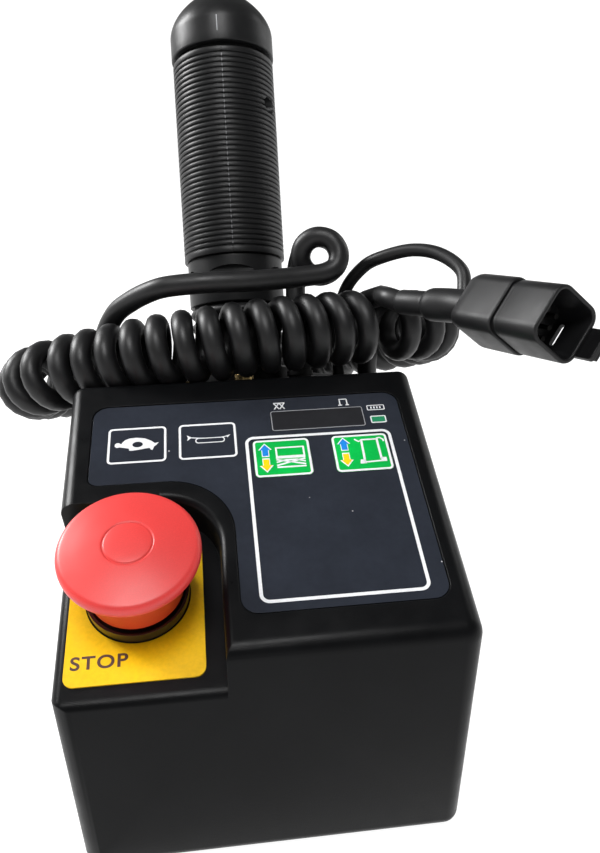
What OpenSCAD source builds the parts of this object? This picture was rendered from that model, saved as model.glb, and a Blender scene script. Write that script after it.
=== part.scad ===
// Scissor lift platform control box: a moulded housing with a sloping keypad panel, a stop
// button in a corner recess, a joystick on the rear deck and a curly cord with its connector.
// Millimetres, +Z up, +Y away from the operator, origin at the centre of the base's underside.

/* [Body] */
// Width of the housing across the panel
body_w = 121; // [116:1:135]
// Depth of the housing from the front face to the rear wall
body_d = 178; // [174:1:190]
// Height of the front face above the surface it stands on
front_h = 77; // [70:1:95]
// Length of the control panel from its front edge to the ridge
panel_len = 109; // [107:0.5:113]
// Slope of the control panel in degrees
panel_slope = 22; // [18:1:25]
// Slope of the rear deck in degrees
deck_slope = 24.6; // [22:0.2:27]
// Step from the ridge down to the rear deck
deck_drop = 8.8; // [8:0.2:10]
// Wall thickness of the housing
wall = 3; // [2.4:0.1:3.4]
// Rounding of the upper edges
edge_r = 6; // [5:0.5:6.5]
// Rounding of the ridge between panel and deck
ridge_r = 4; // [3.5:0.5:5]
// Lean of the side walls in towards the base, each side, in degrees
side_lean = 2; // [0:0.5:3]

/* [Base] */
// Thickness of the base plate
base_t = 3; // [2:0.5:4]
// Thickness of the base gasket
gasket_t = 1.5; // [1:0.5:2.5]
// Rounding of the housing's lower edges and upright corners
base_r = 5; // [4:0.5:5.5]
// Width of the housing's rim round the base plate
base_rim = 6; // [5.5:0.5:7]
// Distance from the outer faces to the base screws
base_screw_inset = 10; // [9.5:0.5:11]
// Diameter of the base screws
base_screw_d = 4; // [3:0.5:4.5]
// Distance of the mounting inserts from the sides
mount_side_inset = 25.5; // [22:0.5:30]
// Distance of the mounting inserts from the front and the rear
mount_end_inset = 29; // [26:1:38]
// Thread hole diameter of the mounting inserts
mount_hole_d = 5; // [4:1:6]

/* [Panel] */
// Thickness of the keypad overlay
overlay_t = 0.6; // [0.4:0.1:0.8]
// Distance of the framed field from the panel's front edge
field_y = 14.5; // [13.5:0.5:15.5]
// Width of the framed field
field_w = 49.5; // [48:0.5:50]
// Width of a green function key
green_w = 18.8; // [17:0.2:19]
// Height of a green function key
green_h = 16; // [14:0.5:16.5]
// Width of an outlined key
plain_w = 19.2; // [17:0.2:19.4]
// Height of an outlined key
plain_h = 15.8; // [14:0.2:16]
// Travel of each key
key_travel = 0.5; // [0.3:0.1:0.8]
// Width of the display window
display_w = 32.3; // [30:0.5:34]
// Height of the display window
display_h = 9.4; // [8:0.2:9.6]

/* [Stop button] */
// Depth of the recess that holds the stop button
recess_depth = 12.7; // [11:0.1:14]
// Diameter of the mushroom head
stop_head_d = 40; // [36:1:41]
// Height of the head's rim above the recess floor
stop_rim_h = 26; // [24:0.5:28]
// Diameter of the collar around the head's neck
stop_collar_d = 30.4; // [29.5:0.1:32]
// Diameter of the switch barrel that passes through the housing
stop_barrel_d = 22; // [20:0.5:22.5]
// Travel of the stop button
stop_travel = 3.6; // [2.5:0.1:3.8]
// Width of the yellow plate
label_w = 39.2; // [37:0.2:40]

/* [Joystick] */
// Distance of the joystick axis from the middle of the box, to the right
stick_x = 1; // [-2:0.5:3]
// Distance of the joystick axis behind the middle of the deck
stick_back = 0; // [-1:0.1:1]
// Diameter of the grip
grip_d = 41.4; // [39:0.2:42]
// Length of the ribbed grip
grip_len = 81.2; // [70:0.4:90]
// Height of the lower edge of the grip above the deck
grip_start = 58.9; // [58:0.1:64]
// Diameter of the steering cap
cap_d = 42.2; // [40:0.2:43]
// Height of the steering cap
cap_h = 25.4; // [22:0.2:30]
// Gap between grip and steering cap
cap_gap = 2.1; // [1.9:0.1:2.6]
// Diameter of the joystick shaft
shaft_d = 12; // [10:0.5:13]
// Depth of the pivot pin below the deck
pivot_depth = 11; // [10:0.5:13]

/* [Cord] */
// Diameter of the cord
cord_d = 7.8; // [7.4:0.1:8]
// Radius of a curl, measured to the middle of the cord
curl_r = 10.3; // [9.8:0.1:10.5]
// Number of curls, the last one a quarter
curl_turns = 40.25; // [36.25:1:41.25]
// Diameter of the second lead
aux_d = 5; // [4.4:0.2:5.4]
// Width of the square connector shell
plug_w = 19.2; // [18.6:0.2:21]

/* [Hidden] */

$fn = 64;
// Overrun of every cut past the face that it opens
cut = 1;
// Facets round a ball or drum inside a hull
hull_fn = 32;
// Clearance between a pin and the bore it turns in, on the radius
run_fit = 0.05;
// Clearance between faces that slide past or sit beside each other
side_fit = 0.15;

// The housing's outline
front_y = -body_d / 2;
rear_y = body_d / 2;
ridge_y = front_y + panel_len * cos(panel_slope);
ridge_z = front_h + panel_len * sin(panel_slope);
deck_end = (rear_y - ridge_y + deck_drop * sin(deck_slope)) / cos(deck_slope);
rear_h = ridge_z - deck_end * sin(deck_slope) - deck_drop * cos(deck_slope);
shell_z = base_t + gasket_t;
base_in = front_h * tan(side_lean);
base_half = body_w / 2 - base_in;
// Width of the ledge that the gasket lies against, and its thickness
ledge_w = 7.5;
ledge_t = 2.5;
// Slope of the short bevel from the ridge down to the deck, measured from the deck
bevel_slope = 45;
bevel_e = deck_drop / tan(bevel_slope);

module on_panel() {
    translate([0, front_y, front_h]) rotate([panel_slope, 0, 0]) children();
}
module on_ridge() {
    translate([0, ridge_y, ridge_z]) rotate([-deck_slope, 0, 0]) children();
}
module on_deck() {
    on_ridge() translate([0, 0, -deck_drop]) children();
}
module on_stick() {
    on_deck() translate([stick_x, deck_end / 2 + stick_back, 0]) children();
}
module on_floor() {
    on_panel() translate([stop_x, stop_y, -recess_depth]) children();
}
// The connector's own axes, its rear face at the origin and its mouth towards +X
module on_plug() {
    on_ridge() translate(plug_at) rotate(plug_turn) children();
}
// A plate with round upright corners, made of true cylinders
module round_plate(w, d, h, r) {
    translate([-w / 2 + r, -d / 2, 0]) cube([w - 2 * r, d, h]);
    translate([-w / 2, -d / 2 + r, 0]) cube([w, d - 2 * r, h]);
    for (x = [-1, 1], y = [-1, 1])
        translate([x * (w / 2 - r), y * (d / 2 - r), 0]) cylinder(r = r, h = h);
}
// A flat ring standing on the plane z = 0
module ring(outer_d, inner_d, h) {
    difference() {
        cylinder(d = outer_d, h = h);
        translate([0, 0, -cut]) cylinder(d = inner_d, h = h + 2 * cut);
    }
}
// A bar along X with its middle at the origin
module bar(d, l) {
    translate([-l / 2, 0, 0]) rotate([0, 90, 0]) cylinder(d = d, h = l);
}
// A screw pointing down: head above z = 0, shank below
module screw(d, l, head_w, head_t) {
    translate([0, 0, -l]) cylinder(d = d, h = l);
    difference() {
        cylinder(d = head_w, h = head_t);
        translate([0, 0, head_t / 2]) cylinder(d = d * socket_share, h = head_t, $fn = 6);
    }
}
socket_share = 0.55;

// Places in the side view: across the depth and up, from panel or ridge distances
function panel_yz(y, z) = [front_y + y * cos(panel_slope) - z * sin(panel_slope),
    front_h + y * sin(panel_slope) + z * cos(panel_slope)];
function ridge_yz(e, a) = [ridge_y + e * cos(deck_slope) + a * sin(deck_slope),
    ridge_z - e * sin(deck_slope) + a * cos(deck_slope)];
// Height of a ball's middle that touches the panel's plane from below, sunk by drop
function under_panel(y, r, drop) =
    front_h + (y - front_y) * tan(panel_slope) - (r + drop) / cos(panel_slope);
half_turn = (panel_slope + deck_slope + bevel_slope) / 2;
// Half width of the leaning side wall at a height
function side_x(z) =
    min(body_w / 2, base_half + base_in * (z - base_r) / (front_h - edge_r - base_r));
// Depth of the rear edge's ball below the sharp corner, as a share of its radius
rear_ball_share = 1 / cos(deck_slope) - tan(deck_slope);
// The outside without the step behind the ridge
module body_block() {
    hull() {
        for (s = [-1, 1]) {
            translate([s * (body_w / 2 - edge_r), front_y + edge_r, under_panel(front_y + edge_r, edge_r, 0)])
                sphere(r = edge_r, $fn = hull_fn);
            on_panel() translate([s * (body_w / 2 - ridge_r), panel_len - ridge_r * tan(half_turn), -ridge_r])
                sphere(r = ridge_r, $fn = hull_fn);
            translate([s * (body_w / 2 - edge_r), rear_y - edge_r, rear_h - edge_r * rear_ball_share])
                sphere(r = edge_r, $fn = hull_fn);
            for (t = [-1, 1])
                translate([s * (base_half - base_r), t * (body_d / 2 - base_r), base_r])
                    sphere(r = base_r, $fn = hull_fn);
        }
    }
}
// Draws a side view outline, given as depth and height, and spreads it across the width
module side_view(w) {
    rotate([90, 0, 90]) translate([0, 0, -w / 2]) linear_extrude(height = w) children();
}
// What the rear deck's step takes off the block, round along the deck's side edges
module deck_step() {
    on_ridge() difference() {
        side_view(2 * body_w) polygon([[-edge_r, edge_r], [bevel_e + edge_r, -deck_drop - edge_r],
            [body_d, -deck_drop - edge_r], [body_d, edge_r]]);
        translate([0, -body_d, -deck_drop - body_w]) rotate([-90, 0, 0]) linear_extrude(height = 3 * body_d) {
            w = body_w + skin_gap;
            translate([-w / 2, -body_w + edge_r]) square([w, body_w]);
            translate([edge_r - w / 2, -body_w]) square([w - 2 * edge_r, body_w]);
            for (s = [-1, 1]) translate([s * (w / 2 - edge_r), edge_r - body_w]) circle(r = edge_r);
        }
    }
}
// Keeps a cutter's flanks just clear of the faces beside them
skin_gap = 0.1;
// The body under the recess floor, with a rounded lip along the left and the front
module low_body() {
    lip_y = front_y + lip_r - skin_gap;
    front_z = under_panel(lip_y, lip_r, recess_depth);
    hull() {
        for (x = [lip_r - side_x(front_z) - skin_gap, recess_x + recess_r]) {
            translate([x, lip_y, front_z]) sphere(r = lip_r, $fn = hull_fn);
            on_panel() translate([x, recess_y + recess_r / 2, -recess_depth - lip_r])
                sphere(r = lip_r, $fn = hull_fn);
            translate([x, lip_y, base_r]) sphere(r = lip_r, $fn = hull_fn);
            translate([x, ridge_y, base_r]) sphere(r = lip_r, $fn = hull_fn);
        }
    }
}

// The recess of the stop button, in the panel's own axes
recess_x = -12;
recess_y = 54.7;
recess_r = 18;
lip_r = 3.6;
stop_x = -36.9;
stop_y = 27.9;
recess_edge_r = 2.5;
module recess_cut(depth, grow) {
    x = recess_x + grow;
    y = recess_y + grow;
    r = recess_r + grow;
    translate([0, 0, -depth]) {
        translate([-body_w, -body_w, 0]) cube([body_w + x, body_w + y - r, body_w]);
        translate([-body_w, -body_w, 0]) cube([body_w + x - r, body_w + y, body_w]);
        translate([x - r, y - r, 0]) cylinder(r = r, h = body_w);
    }
}
// Rounding of the recess's upper edge: a section that runs along both walls and the corner
module recess_edge() {
    difference() {
        translate([-recess_edge_r, -recess_edge_r]) square([2 * recess_edge_r, recess_edge_r + cut]);
        translate([recess_edge_r, -recess_edge_r]) circle(r = recess_edge_r);
    }
}
module recess_edge_cut() {
    translate([recess_x - recess_r, recess_y - recess_r, 0]) {
        rotate_extrude(angle = 90) translate([recess_r, 0]) recess_edge();
        rotate([90, 0, 0]) linear_extrude(height = body_w) translate([recess_r, 0]) recess_edge();
        rotate([90, 0, 0]) rotate([0, -90, 0]) linear_extrude(height = body_w)
            translate([recess_r, 0]) recess_edge();
    }
}

// Keypad layout in the panel's own axes: distances of the middle of each key and window from
// the framed field's left, right and lower lines
field_x = -1.7;
field_right = field_x + field_w;
green_up = 53.9;
green_y = field_y + green_up;
lift_in = 11.8;
lift_x = field_x + lift_in;
drive_in = 11.2;
drive_x = field_right - drive_in;
plain_up = 63.4;
plain_y = field_y + plain_up;
slow_out = 35.5;
slow_x = field_x - slow_out;
horn_out = 12.3;
horn_x = field_x - horn_out;
display_in = 25.7;
display_x = field_x + display_in;
display_up = 70.6;
display_y = field_y + display_up;
status_in = 2.9;
status_x = field_right - status_in;
status_up = 68.6;
status_y = field_y + status_up;
status_w = 5.5;
status_h = 3.4;
// The overlay's outline, from the same lines
overlay_out = 50.4;
overlay_left = field_x - overlay_out;
field_margin = 5.2;
overlay_right = field_right + field_margin;
overlay_down = 2.8;
overlay_low = field_y - overlay_down;
overlay_up = 81.5;
overlay_high = field_y + overlay_up;
overlay_notch_x = field_x - field_margin;
overlay_notch_up = 47;
overlay_notch_y = field_y + overlay_notch_up;
overlay_notch_r = 21;
overlay_r = 5;
overlay_small_r = 3;
// Gap between the overlay's face and the panel round it, and the gap round its edge
overlay_sink = 0.2;
pocket_gap = 0.4;
pocket_t = overlay_t + overlay_sink;
KEYS = [[slow_x, plain_y, plain_w, plain_h], [horn_x, plain_y, plain_w, plain_h],
    [lift_x, green_y, green_w, green_h], [drive_x, green_y, green_w, green_h]];
key_r = 1.6;
key_flange = 1.5;
key_flange_t = 1;
key_rest_gap = 0.1;
window_flange = 0.9;
window_flange_t = 1;
lens_r = 0.9;

// Board and what stands on it, below the panel
board_t = 1.6;
board_z = -9.6;
board_top = board_z + board_t;
board_side_gap = 4.5;
board_half = body_w / 2 - wall - board_side_gap;
board_gap = 2.5;
board_front_gap = 10;
board_ridge_gap = 11.5;
board_low_x = recess_x + wall + board_gap;
board_low_y = board_front_gap;
board_mid_y = recess_y + wall + board_gap;
board_top_y = panel_len - board_ridge_gap;
switch_w = 6;
switch_h = -wall - key_rest_gap - key_flange_t - key_travel - side_fit - board_top;
boss_d = 7;
board_screw_d = 3;
board_screw_l = 6;
// Distances of the board's holes from its left, right, upper, lower and inner edges
hole_left = 5.3;
hole_right = 4.7;
hole_high = 3.5;
hole_low = 6.5;
hole_inner = 7.8;
BOARD_HOLES = [[hole_left - board_half, board_top_y - hole_high],
    [board_half - hole_right, board_top_y - hole_high],
    [board_half - hole_right, board_low_y + hole_low], [board_low_x + hole_inner, board_low_y + hole_low]];
display_module_h = 13;
chip_t = 2.4;
led_t = 1;
socket_h = 7;
buzzer_d = 12;
buzzer_h = 6.5;

// The keypad's outline: an L with round corners and a hollow round the stop recess
module keypad_outline(grow) {
    l = overlay_left - grow;
    r = overlay_right + grow;
    b = overlay_low - grow;
    t = overlay_high + grow;
    nx = overlay_notch_x - grow;
    ny = overlay_notch_y - grow;
    big = overlay_r + grow;
    small = overlay_small_r + grow;
    hollow = overlay_notch_r - grow;
    translate([l + small, ny]) square([nx - hollow - l - small, 2 * small]);
    translate([l, ny + small]) square([r - l, t - ny - small - big]);
    translate([l + big, t - 2 * big]) square([r - l - 2 * big, 2 * big]);
    translate([nx, b + big]) square([r - nx, t - b - 2 * big]);
    translate([nx + big, b]) square([r - nx - 2 * big, 2 * big]);
    for (p = [[l + big, t - big], [r - big, t - big], [r - big, b + big], [nx + big, b + big]])
        translate(p) circle(r = big);
    translate([l + small, ny + small]) circle(r = small);
    difference() {
        translate([nx - hollow, ny - hollow]) square(hollow + small);
        translate([nx - hollow, ny - hollow]) circle(r = hollow);
    }
}
module key_block(k, grow, z, h) {
    translate([k[0], k[1], z]) round_plate(k[2] + 2 * grow, k[3] + 2 * grow, h, key_r + grow);
}
module window_block(x, y, w, d, grow, z, h) {
    translate([x, y, z]) round_plate(w + 2 * grow, d + 2 * grow, h, lens_r + grow);
}
module panel_openings(z, h) {
    for (k = KEYS) key_block(k, side_fit, z, h);
    window_block(display_x, display_y, display_w, display_h, side_fit, z, h);
    window_block(status_x, status_y, status_w, status_h, side_fit, z, h);
}

// Joystick pieces in the stick's own axes, heights above the deck
plate_half = 22;
plate_r = 3;
plate_h = 8;
rim_d = 42.6;
rim_in_d = 37;
rim_h = 6;
stick_screw_d = 4;
stick_screw_l = 16;
stick_screw_r = 25.2;
stick_head_d = 7.4;
stick_head_h = 2.3;
deck_hole_d = 34;
boot_start = 18;
boot_d = 39;
boot_groove = 1.6;
boot_folds = 4;
collar_start = 40;
collar_d = 39;
window_h = 3;
grip_wall = 3.3;
spigot_d = grip_d - 2 * grip_wall;
spigot_h = 8;
cheek_x = 15;
cheek_t = 3;
cheek_d = 16;
yoke_t = 2.5;
yoke_half = 21;
pin_d = 6;
hub_w = 20;
hub_d = 16;
spring_gap = 0.4;
spring_d = 11;
sensor_w = 10;
sensor_t = 5;
grip_end = grip_start + grip_len;
grip_in_d = spigot_d + 2 * run_fit;
cap_start = grip_end + cap_gap;
cap_wall = 2.4;
seat_h = 9;
cap_axis_up = 2.5;
cap_axis_h = cap_start + cap_axis_up;
rib_pitch = 2.05;
rib_depth = 0.55;
rib_gap = 0.75;
rib_margin = 2.4;
seam_turn = -3;
grip_screw_down = 20;
grip_screw_h = grip_end - grip_screw_down;
grip_screw_d = 3;
grip_screw_past = 5.4;
grip_blind_l = 12;
grip_hole_d = 6.4;
post_d = 8;
post_e = -10;

// Cord outlet and the routes of the free leads in the ridge's axes: across, back, up
gland_at = [23.5, 26.5];
gland_top = 20;
gland_base_d = 12.6;
gland_base_h = 4;
gland_d = 10.6;
gland_top_d = 9.8;
gland_thread_d = 10;
gland_thread_l = 10;
gland_rib = 1.2;
gland_ribs = 6;
gland_rib_share = 0.62;
LEAD = [[23.5, 26.5, 11.2], [23.5, 26.5, 18], [23.5, 26.5, 28], [24, 26.3, 38], [25.6, 25.6, 46],
    [28.6, 23.2, 52.2], [33.5, 20.8, 53.8], [38.5, 19.5, 51.4], [40.6, 19.2, 46.2], [38.6, 19.4, 40.9],
    [33.5, 19.5, 38.4], [28.2, 18.7, 40], [25.4, 17, 44.6], [26.7, 14.6, 49.5], [31.2, 12.3, 51.9],
    [36.4, 10.7, 50.3], [39.2, 10, 45.4], [38, 9.6, 40.1], [33.4, 9, 37.4], [26.4, 8, 36.4],
    [18.9, 6.6, 35.6], [4.1, 3.1, 34.4], [-9.8, 1.6, 34.2], [-23.8, 3.1, 33.8], [-31, 6, 32.9],
    [-39.5, 13, 30.6], [-47, 20.5, 26.6], [-53, 31, 17.5], [-54, 42, 9], [-48, 55, 2],
    [-36, 67, -1], [-20, 74, 3], [0, 76, 7], [18, 74, 4], [34, 66, 0], [46, 54, -2], [52.5, 41, -2.5]];
AUX = [[40, 33, -4], [40, 33, 8], [40.5, 31.5, 22], [44, 26, 34], [50, 20, 41], [56, 14, 43.4],
    [66.5, 6, 44.2], [75, -2, 40.5], [80.5, -9.5, 32.5]];
// Where the connector's rear face lies, and its turns about the three axes
plug_at = [78.2, -30.1, 15.4];
plug_turn = [-32, 15, -71];

// Tubes that follow a list of points
function unit(v) = v / norm(v);
function between(p, i, t) =
    let (a = p[max(i - 1, 0)], b = p[i], c = p[i + 1], d = p[min(i + 2, len(p) - 1)])
    (2 * b + (c - a) * t + (2 * a - 5 * b + 4 * c - d) * pow(t, 2)
        + (3 * b - a - 3 * c + d) * pow(t, 3)) / 2;
function smooth(p, steps) =
    concat([for (i = [0 : len(p) - 2], s = [0 : steps - 1]) between(p, i, s / steps)],
        [p[len(p) - 1]]);
function headings(p, first, last) =
    [for (i = [0 : len(p) - 1]) i == 0 ? first : i == len(p) - 1 ? last : unit(p[i + 1] - p[i - 1])];
function square_to(n, d) = unit(n - (n * d) * d);
function carried(d, n, i = 0) =
    i == len(d) ? [] : let (m = square_to(n, d[i])) concat([m], carried(d, m, i + 1));
// One closed tube: rings of points round a path, joined by triangles
module tube(path, dirs, normals, radii, sides) {
    rings = len(path);
    points = [for (i = [0 : rings - 1], k = [0 : sides - 1])
        let (a = 360 * k / sides)
        path[i] + radii[i] * (cos(a) * normals[i] + sin(a) * cross(dirs[i], normals[i]))];
    skin = [for (i = [0 : rings - 2], k = [0 : sides - 1], half = [0, 1])
        let (m = (k + 1) % sides, a = i * sides, b = a + sides)
        half == 0 ? [a + k, b + m, a + m] : [a + k, b + k, b + m]];
    ends = [for (k = [1 : sides - 2], last = [0, 1])
        let (a = (rings - 1) * sides)
        last == 0 ? [0, k, k + 1] : [a, a + k + 1, a + k]];
    polyhedron(points = points, faces = concat(skin, ends), convexity = 10);
}
function same(path, r) = [for (p = path) r];

// The curly cord lies in an oval of four arcs round the joystick, in the ridge's axes
ring_at = [-1, 52.3];
ring_half_w = 83;
ring_half_d = 49;
ring_end_r = 38;
ring_start = -64.8;
ring_stop = 292.1;
ring_h = 13.2;
// Rise of the coil's middle across the box, its bend, and its fall behind the deck
ring_rise_share = 0.09;
ring_bend = 3333;
ring_fall = 14;
ring_fall_e = 80;
ring_fall_run = 21.3;
end_pitch = 11.8;
rear_pitch = 10.4;
front_pitch = 9.1;
curl_rings = 8;
curl_sides = 6;
cord_sides = 8;
sleeve_sides = 12;
ring_c = ring_half_w - ring_end_r;
ring_q = ring_half_d - ring_end_r;
ring_k = (pow(ring_c, 2) - pow(ring_q, 2)) / (2 * ring_q);
ring_long_r = ring_half_d + ring_k;
ring_split = atan2(ring_k, ring_c);
function ring_xy(a) = abs(cos(a)) > cos(ring_split)
    ? [sign(cos(a)) * ring_c + ring_end_r * cos(a), ring_end_r * sin(a)]
    : [ring_long_r * cos(a), ring_long_r * sin(a) - sign(sin(a)) * ring_k];
function ring_height(x, e) = ring_h + ring_rise_share * x - pow(x, 2) / ring_bend
    - ring_fall * pow(max(e - ring_fall_e, 0) / ring_fall_run, 4);
function ring_point(a) =
    let (p = ring_at + ring_xy(a)) [p[0], p[1], ring_height(p[0], p[1])];
// Where each arc ends, in curls from the coil's start
RING_TURNS = [[ring_start, ring_long_r / front_pitch], [-ring_split, ring_end_r / end_pitch],
    [ring_split, ring_long_r / rear_pitch], [180 - ring_split, ring_end_r / end_pitch],
    [180 + ring_split, ring_long_r / front_pitch], [ring_stop, 0]];
function arc_turns(i) =
    (RING_TURNS[i + 1][0] - RING_TURNS[i][0]) * PI / 180 * RING_TURNS[i][1];
function turns_before(i) = i == 0 ? 0 : turns_before(i - 1) + arc_turns(i - 1);
turn_share = curl_turns / turns_before(len(RING_TURNS) - 1);
RING_LOOKUP = [for (i = [0 : len(RING_TURNS) - 1]) [turns_before(i) * turn_share, RING_TURNS[i][0]]];
function outward(a) = [cos(a), sin(a), 0];
function curl_dir(turn) =
    cos(360 * turn - 90) * [0, 0, 1] + sin(360 * turn - 90) * outward(lookup(turn, RING_LOOKUP));
function curl_point(turn) = ring_point(lookup(turn, RING_LOOKUP)) + curl_r * curl_dir(turn);
curl_steps = round(curl_turns * curl_rings);
CURLS = [for (i = [0 : curl_steps]) curl_point(i / curl_rings)];
near_turn_share = 0.01;
coil_dir_0 = unit(curl_point(near_turn_share) - curl_point(0));
coil_dir_1 = unit(curl_point(curl_turns) - curl_point(curl_turns - near_turn_share));
coil_start = CURLS[0] - coil_dir_0 * cord_d;
coil_end = CURLS[curl_steps] + coil_dir_1 * cord_d;
COIL_PATH = concat([coil_start], CURLS, [coil_end]);
COIL_DIRS = concat([coil_dir_0, coil_dir_0],
    [for (i = [1 : curl_steps - 1]) unit(CURLS[i + 1] - CURLS[i - 1])], [coil_dir_1, coil_dir_1]);
COIL_OUT = concat([square_to(curl_dir(0), coil_dir_0)],
    [for (i = [0 : curl_steps]) square_to(curl_dir(i / curl_rings), COIL_DIRS[i + 1])],
    [square_to(curl_dir(curl_turns), coil_dir_1)]);
// Least gap between neighbouring curls, from each point to the runs one curl further on
function run_distance(p, a, b) =
    let (t = min(max((p - a) * (b - a) / ((b - a) * (b - a)), 0), 1)) norm(p - a - t * (b - a));
coil_last = len(COIL_PATH) - 2;
coil_gap = min([for (i = [0 : coil_last], j = [i + curl_rings / 2 : i + 2 * curl_rings])
    if (j <= coil_last) run_distance(COIL_PATH[i], COIL_PATH[j], COIL_PATH[j + 1])]) - cord_d;
end_gap = min([for (i = [0 : 3 * curl_rings], j = [coil_last - 3 * curl_rings : coil_last])
    run_distance(COIL_PATH[i], COIL_PATH[j], COIL_PATH[j + 1])]) - cord_d;
echo(least_gap_of_the_coil_to_itself = min(coil_gap, end_gap));

// The lead from the gland to the coil, the tail from the coil to the sleeve
lead_steps = 2;
lead_foot = 8;
LEAD_PATH = concat(smooth(concat(LEAD, [coil_start - coil_dir_0 * lead_foot]), lead_steps), [coil_start]);
LEAD_DIRS = headings(LEAD_PATH, [0, 0, 1], coil_dir_0);
plug_dir = [cos(plug_turn[1]) * cos(plug_turn[2]), cos(plug_turn[1]) * sin(plug_turn[2]), -sin(plug_turn[1])];
// The connector's height and width directions, before its last turn and after it
plug_rise = [cos(plug_turn[0]) * sin(plug_turn[1]), -sin(plug_turn[0])];
plug_up = [plug_rise[0] * cos(plug_turn[2]) - plug_rise[1] * sin(plug_turn[2]),
    plug_rise[0] * sin(plug_turn[2]) + plug_rise[1] * cos(plug_turn[2]),
    cos(plug_turn[0]) * cos(plug_turn[1])];
plug_across = cross(plug_up, plug_dir);
// Where the sleeve and the second lead enter the rear face: across it and up it
sleeve_in = [-1.4, -0.2];
aux_in = [4.2, 6.2];
SLEEVE_END = plug_at + plug_across * sleeve_in[0] + plug_up * sleeve_in[1];
SLEEVE_START = [58.8, -3.7, 23.3];
sleeve_l = norm(SLEEVE_END - SLEEVE_START);
sleeve_dir_0 = unit(SLEEVE_END - SLEEVE_START);
// Stations of the sleeve from its start along the cord, then from its end along the connector
sleeve_start_shares = [0.2, 0.385, 0.415];
sleeve_end_shares = [0.26, 0.04];
SLEEVE_PATH = concat([SLEEVE_START], [for (t = sleeve_start_shares) SLEEVE_START + sleeve_dir_0 * sleeve_l * t],
    [for (t = sleeve_end_shares) SLEEVE_END - plug_dir * sleeve_l * t], [SLEEVE_END]);
sleeve_r = 5.6;
sleeve_r_shares = [0.79, 0.82, 0.82, 1.05, 1.05, 1, 0.96];
SLEEVE_R = sleeve_r * sleeve_r_shares;
tail_steps = 3;
tail_straight = 0.5;
TAIL_BEND = [55.5, 0, 25.5];
TAIL_PATH = smooth([coil_end, TAIL_BEND, SLEEVE_START - sleeve_dir_0 * tail_straight, SLEEVE_START], tail_steps);
TAIL_DIRS = headings(TAIL_PATH, coil_dir_1, sleeve_dir_0);
AUX_IN = plug_at + plug_across * aux_in[0] + plug_up * aux_in[1];
aux_sleeve_l = 12;
AUX_SLEEVE_START = AUX_IN - plug_dir * aux_sleeve_l;
AUX_PATH = smooth(concat(AUX, [AUX_SLEEVE_START - plug_dir * aux_d, AUX_SLEEVE_START]), lead_steps);
AUX_DIRS = headings(AUX_PATH, [0, 0, 1], plug_dir);

housing_colour = "#1d1e20";
base_opening_w = 2 * (base_half - base_rim);
base_opening_d = body_d - 2 * base_rim;
plate_w = base_opening_w - 2 * side_fit;
plate_d = base_opening_d - 2 * side_fit;
ledge_top = shell_z + ledge_t;
base_screw_top = 18;
base_boss_wall = 1.5;
base_boss_d = base_screw_d + 2 * base_boss_wall;
module at_base_screws() {
    for (x = [-1, 1], y = [-1, 1])
        translate([x * (base_half - base_screw_inset), y * (body_d / 2 - base_screw_inset), 0])
            children();
}
module at_mounts() {
    for (x = [-1, 1], y = [-1, 1])
        translate([x * (body_w / 2 - mount_side_inset), y * (body_d / 2 - mount_end_inset), 0])
            children();
}
module at_board_screws() {
    on_panel() for (p = BOARD_HOLES) translate([p[0], p[1], board_z]) children();
}
module at_stick_screws() {
    on_stick() for (a = [0 : 90 : 270]) rotate([0, 0, a]) translate([stick_screw_r, 0, 0]) children();
}

module housing_outside() {
    difference() {
        body_block();
        deck_step();
        difference() {
            on_panel() recess_cut(recess_depth + 2 * lip_r, 0);
            low_body();
        }
        on_panel() recess_edge_cut();
    }
}
// Chamfer of the cavity's front and rear corners
cavity_chamfer = 3;
module housing_cavity() {
    front_in = front_y + wall;
    rear_in = rear_y - wall;
    deck_in = -deck_drop - wall;
    rear_e = (rear_in - ridge_y - deck_in * sin(deck_slope)) / cos(deck_slope);
    shoulder_z = front_h - edge_r;
    intersection() {
        side_view(2 * body_w) polygon([[front_in, ledge_top],
            [front_in, under_panel(front_in, wall, 0) - cavity_chamfer],
            [front_in + cavity_chamfer, under_panel(front_in + cavity_chamfer, wall, 0)],
            panel_yz(panel_len - wall * tan(half_turn), -wall),
            ridge_yz(bevel_e - wall * tan(bevel_slope / 2), deck_in),
            ridge_yz(rear_e - cavity_chamfer, deck_in),
            [rear_in, ridge_yz(rear_e, deck_in)[1] - cavity_chamfer],
            [rear_in, ledge_top]]);
        rotate([90, 0, 0]) translate([0, 0, -body_d]) linear_extrude(height = 2 * body_d) polygon([
            [wall - side_x(ledge_top), ledge_top], [wall - body_w / 2, shoulder_z],
            [wall - body_w / 2, 2 * ridge_z], [body_w / 2 - wall, 2 * ridge_z],
            [body_w / 2 - wall, shoulder_z], [side_x(ledge_top) - wall, ledge_top]]);
    }
}
module base_opening() {
    round_plate(plate_w - 2 * ledge_w, plate_d - 2 * ledge_w, ledge_top + cut, base_r);
    translate([0, 0, -cut]) round_plate(base_opening_w, base_opening_d, shell_z + cut, base_r);
}
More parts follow.
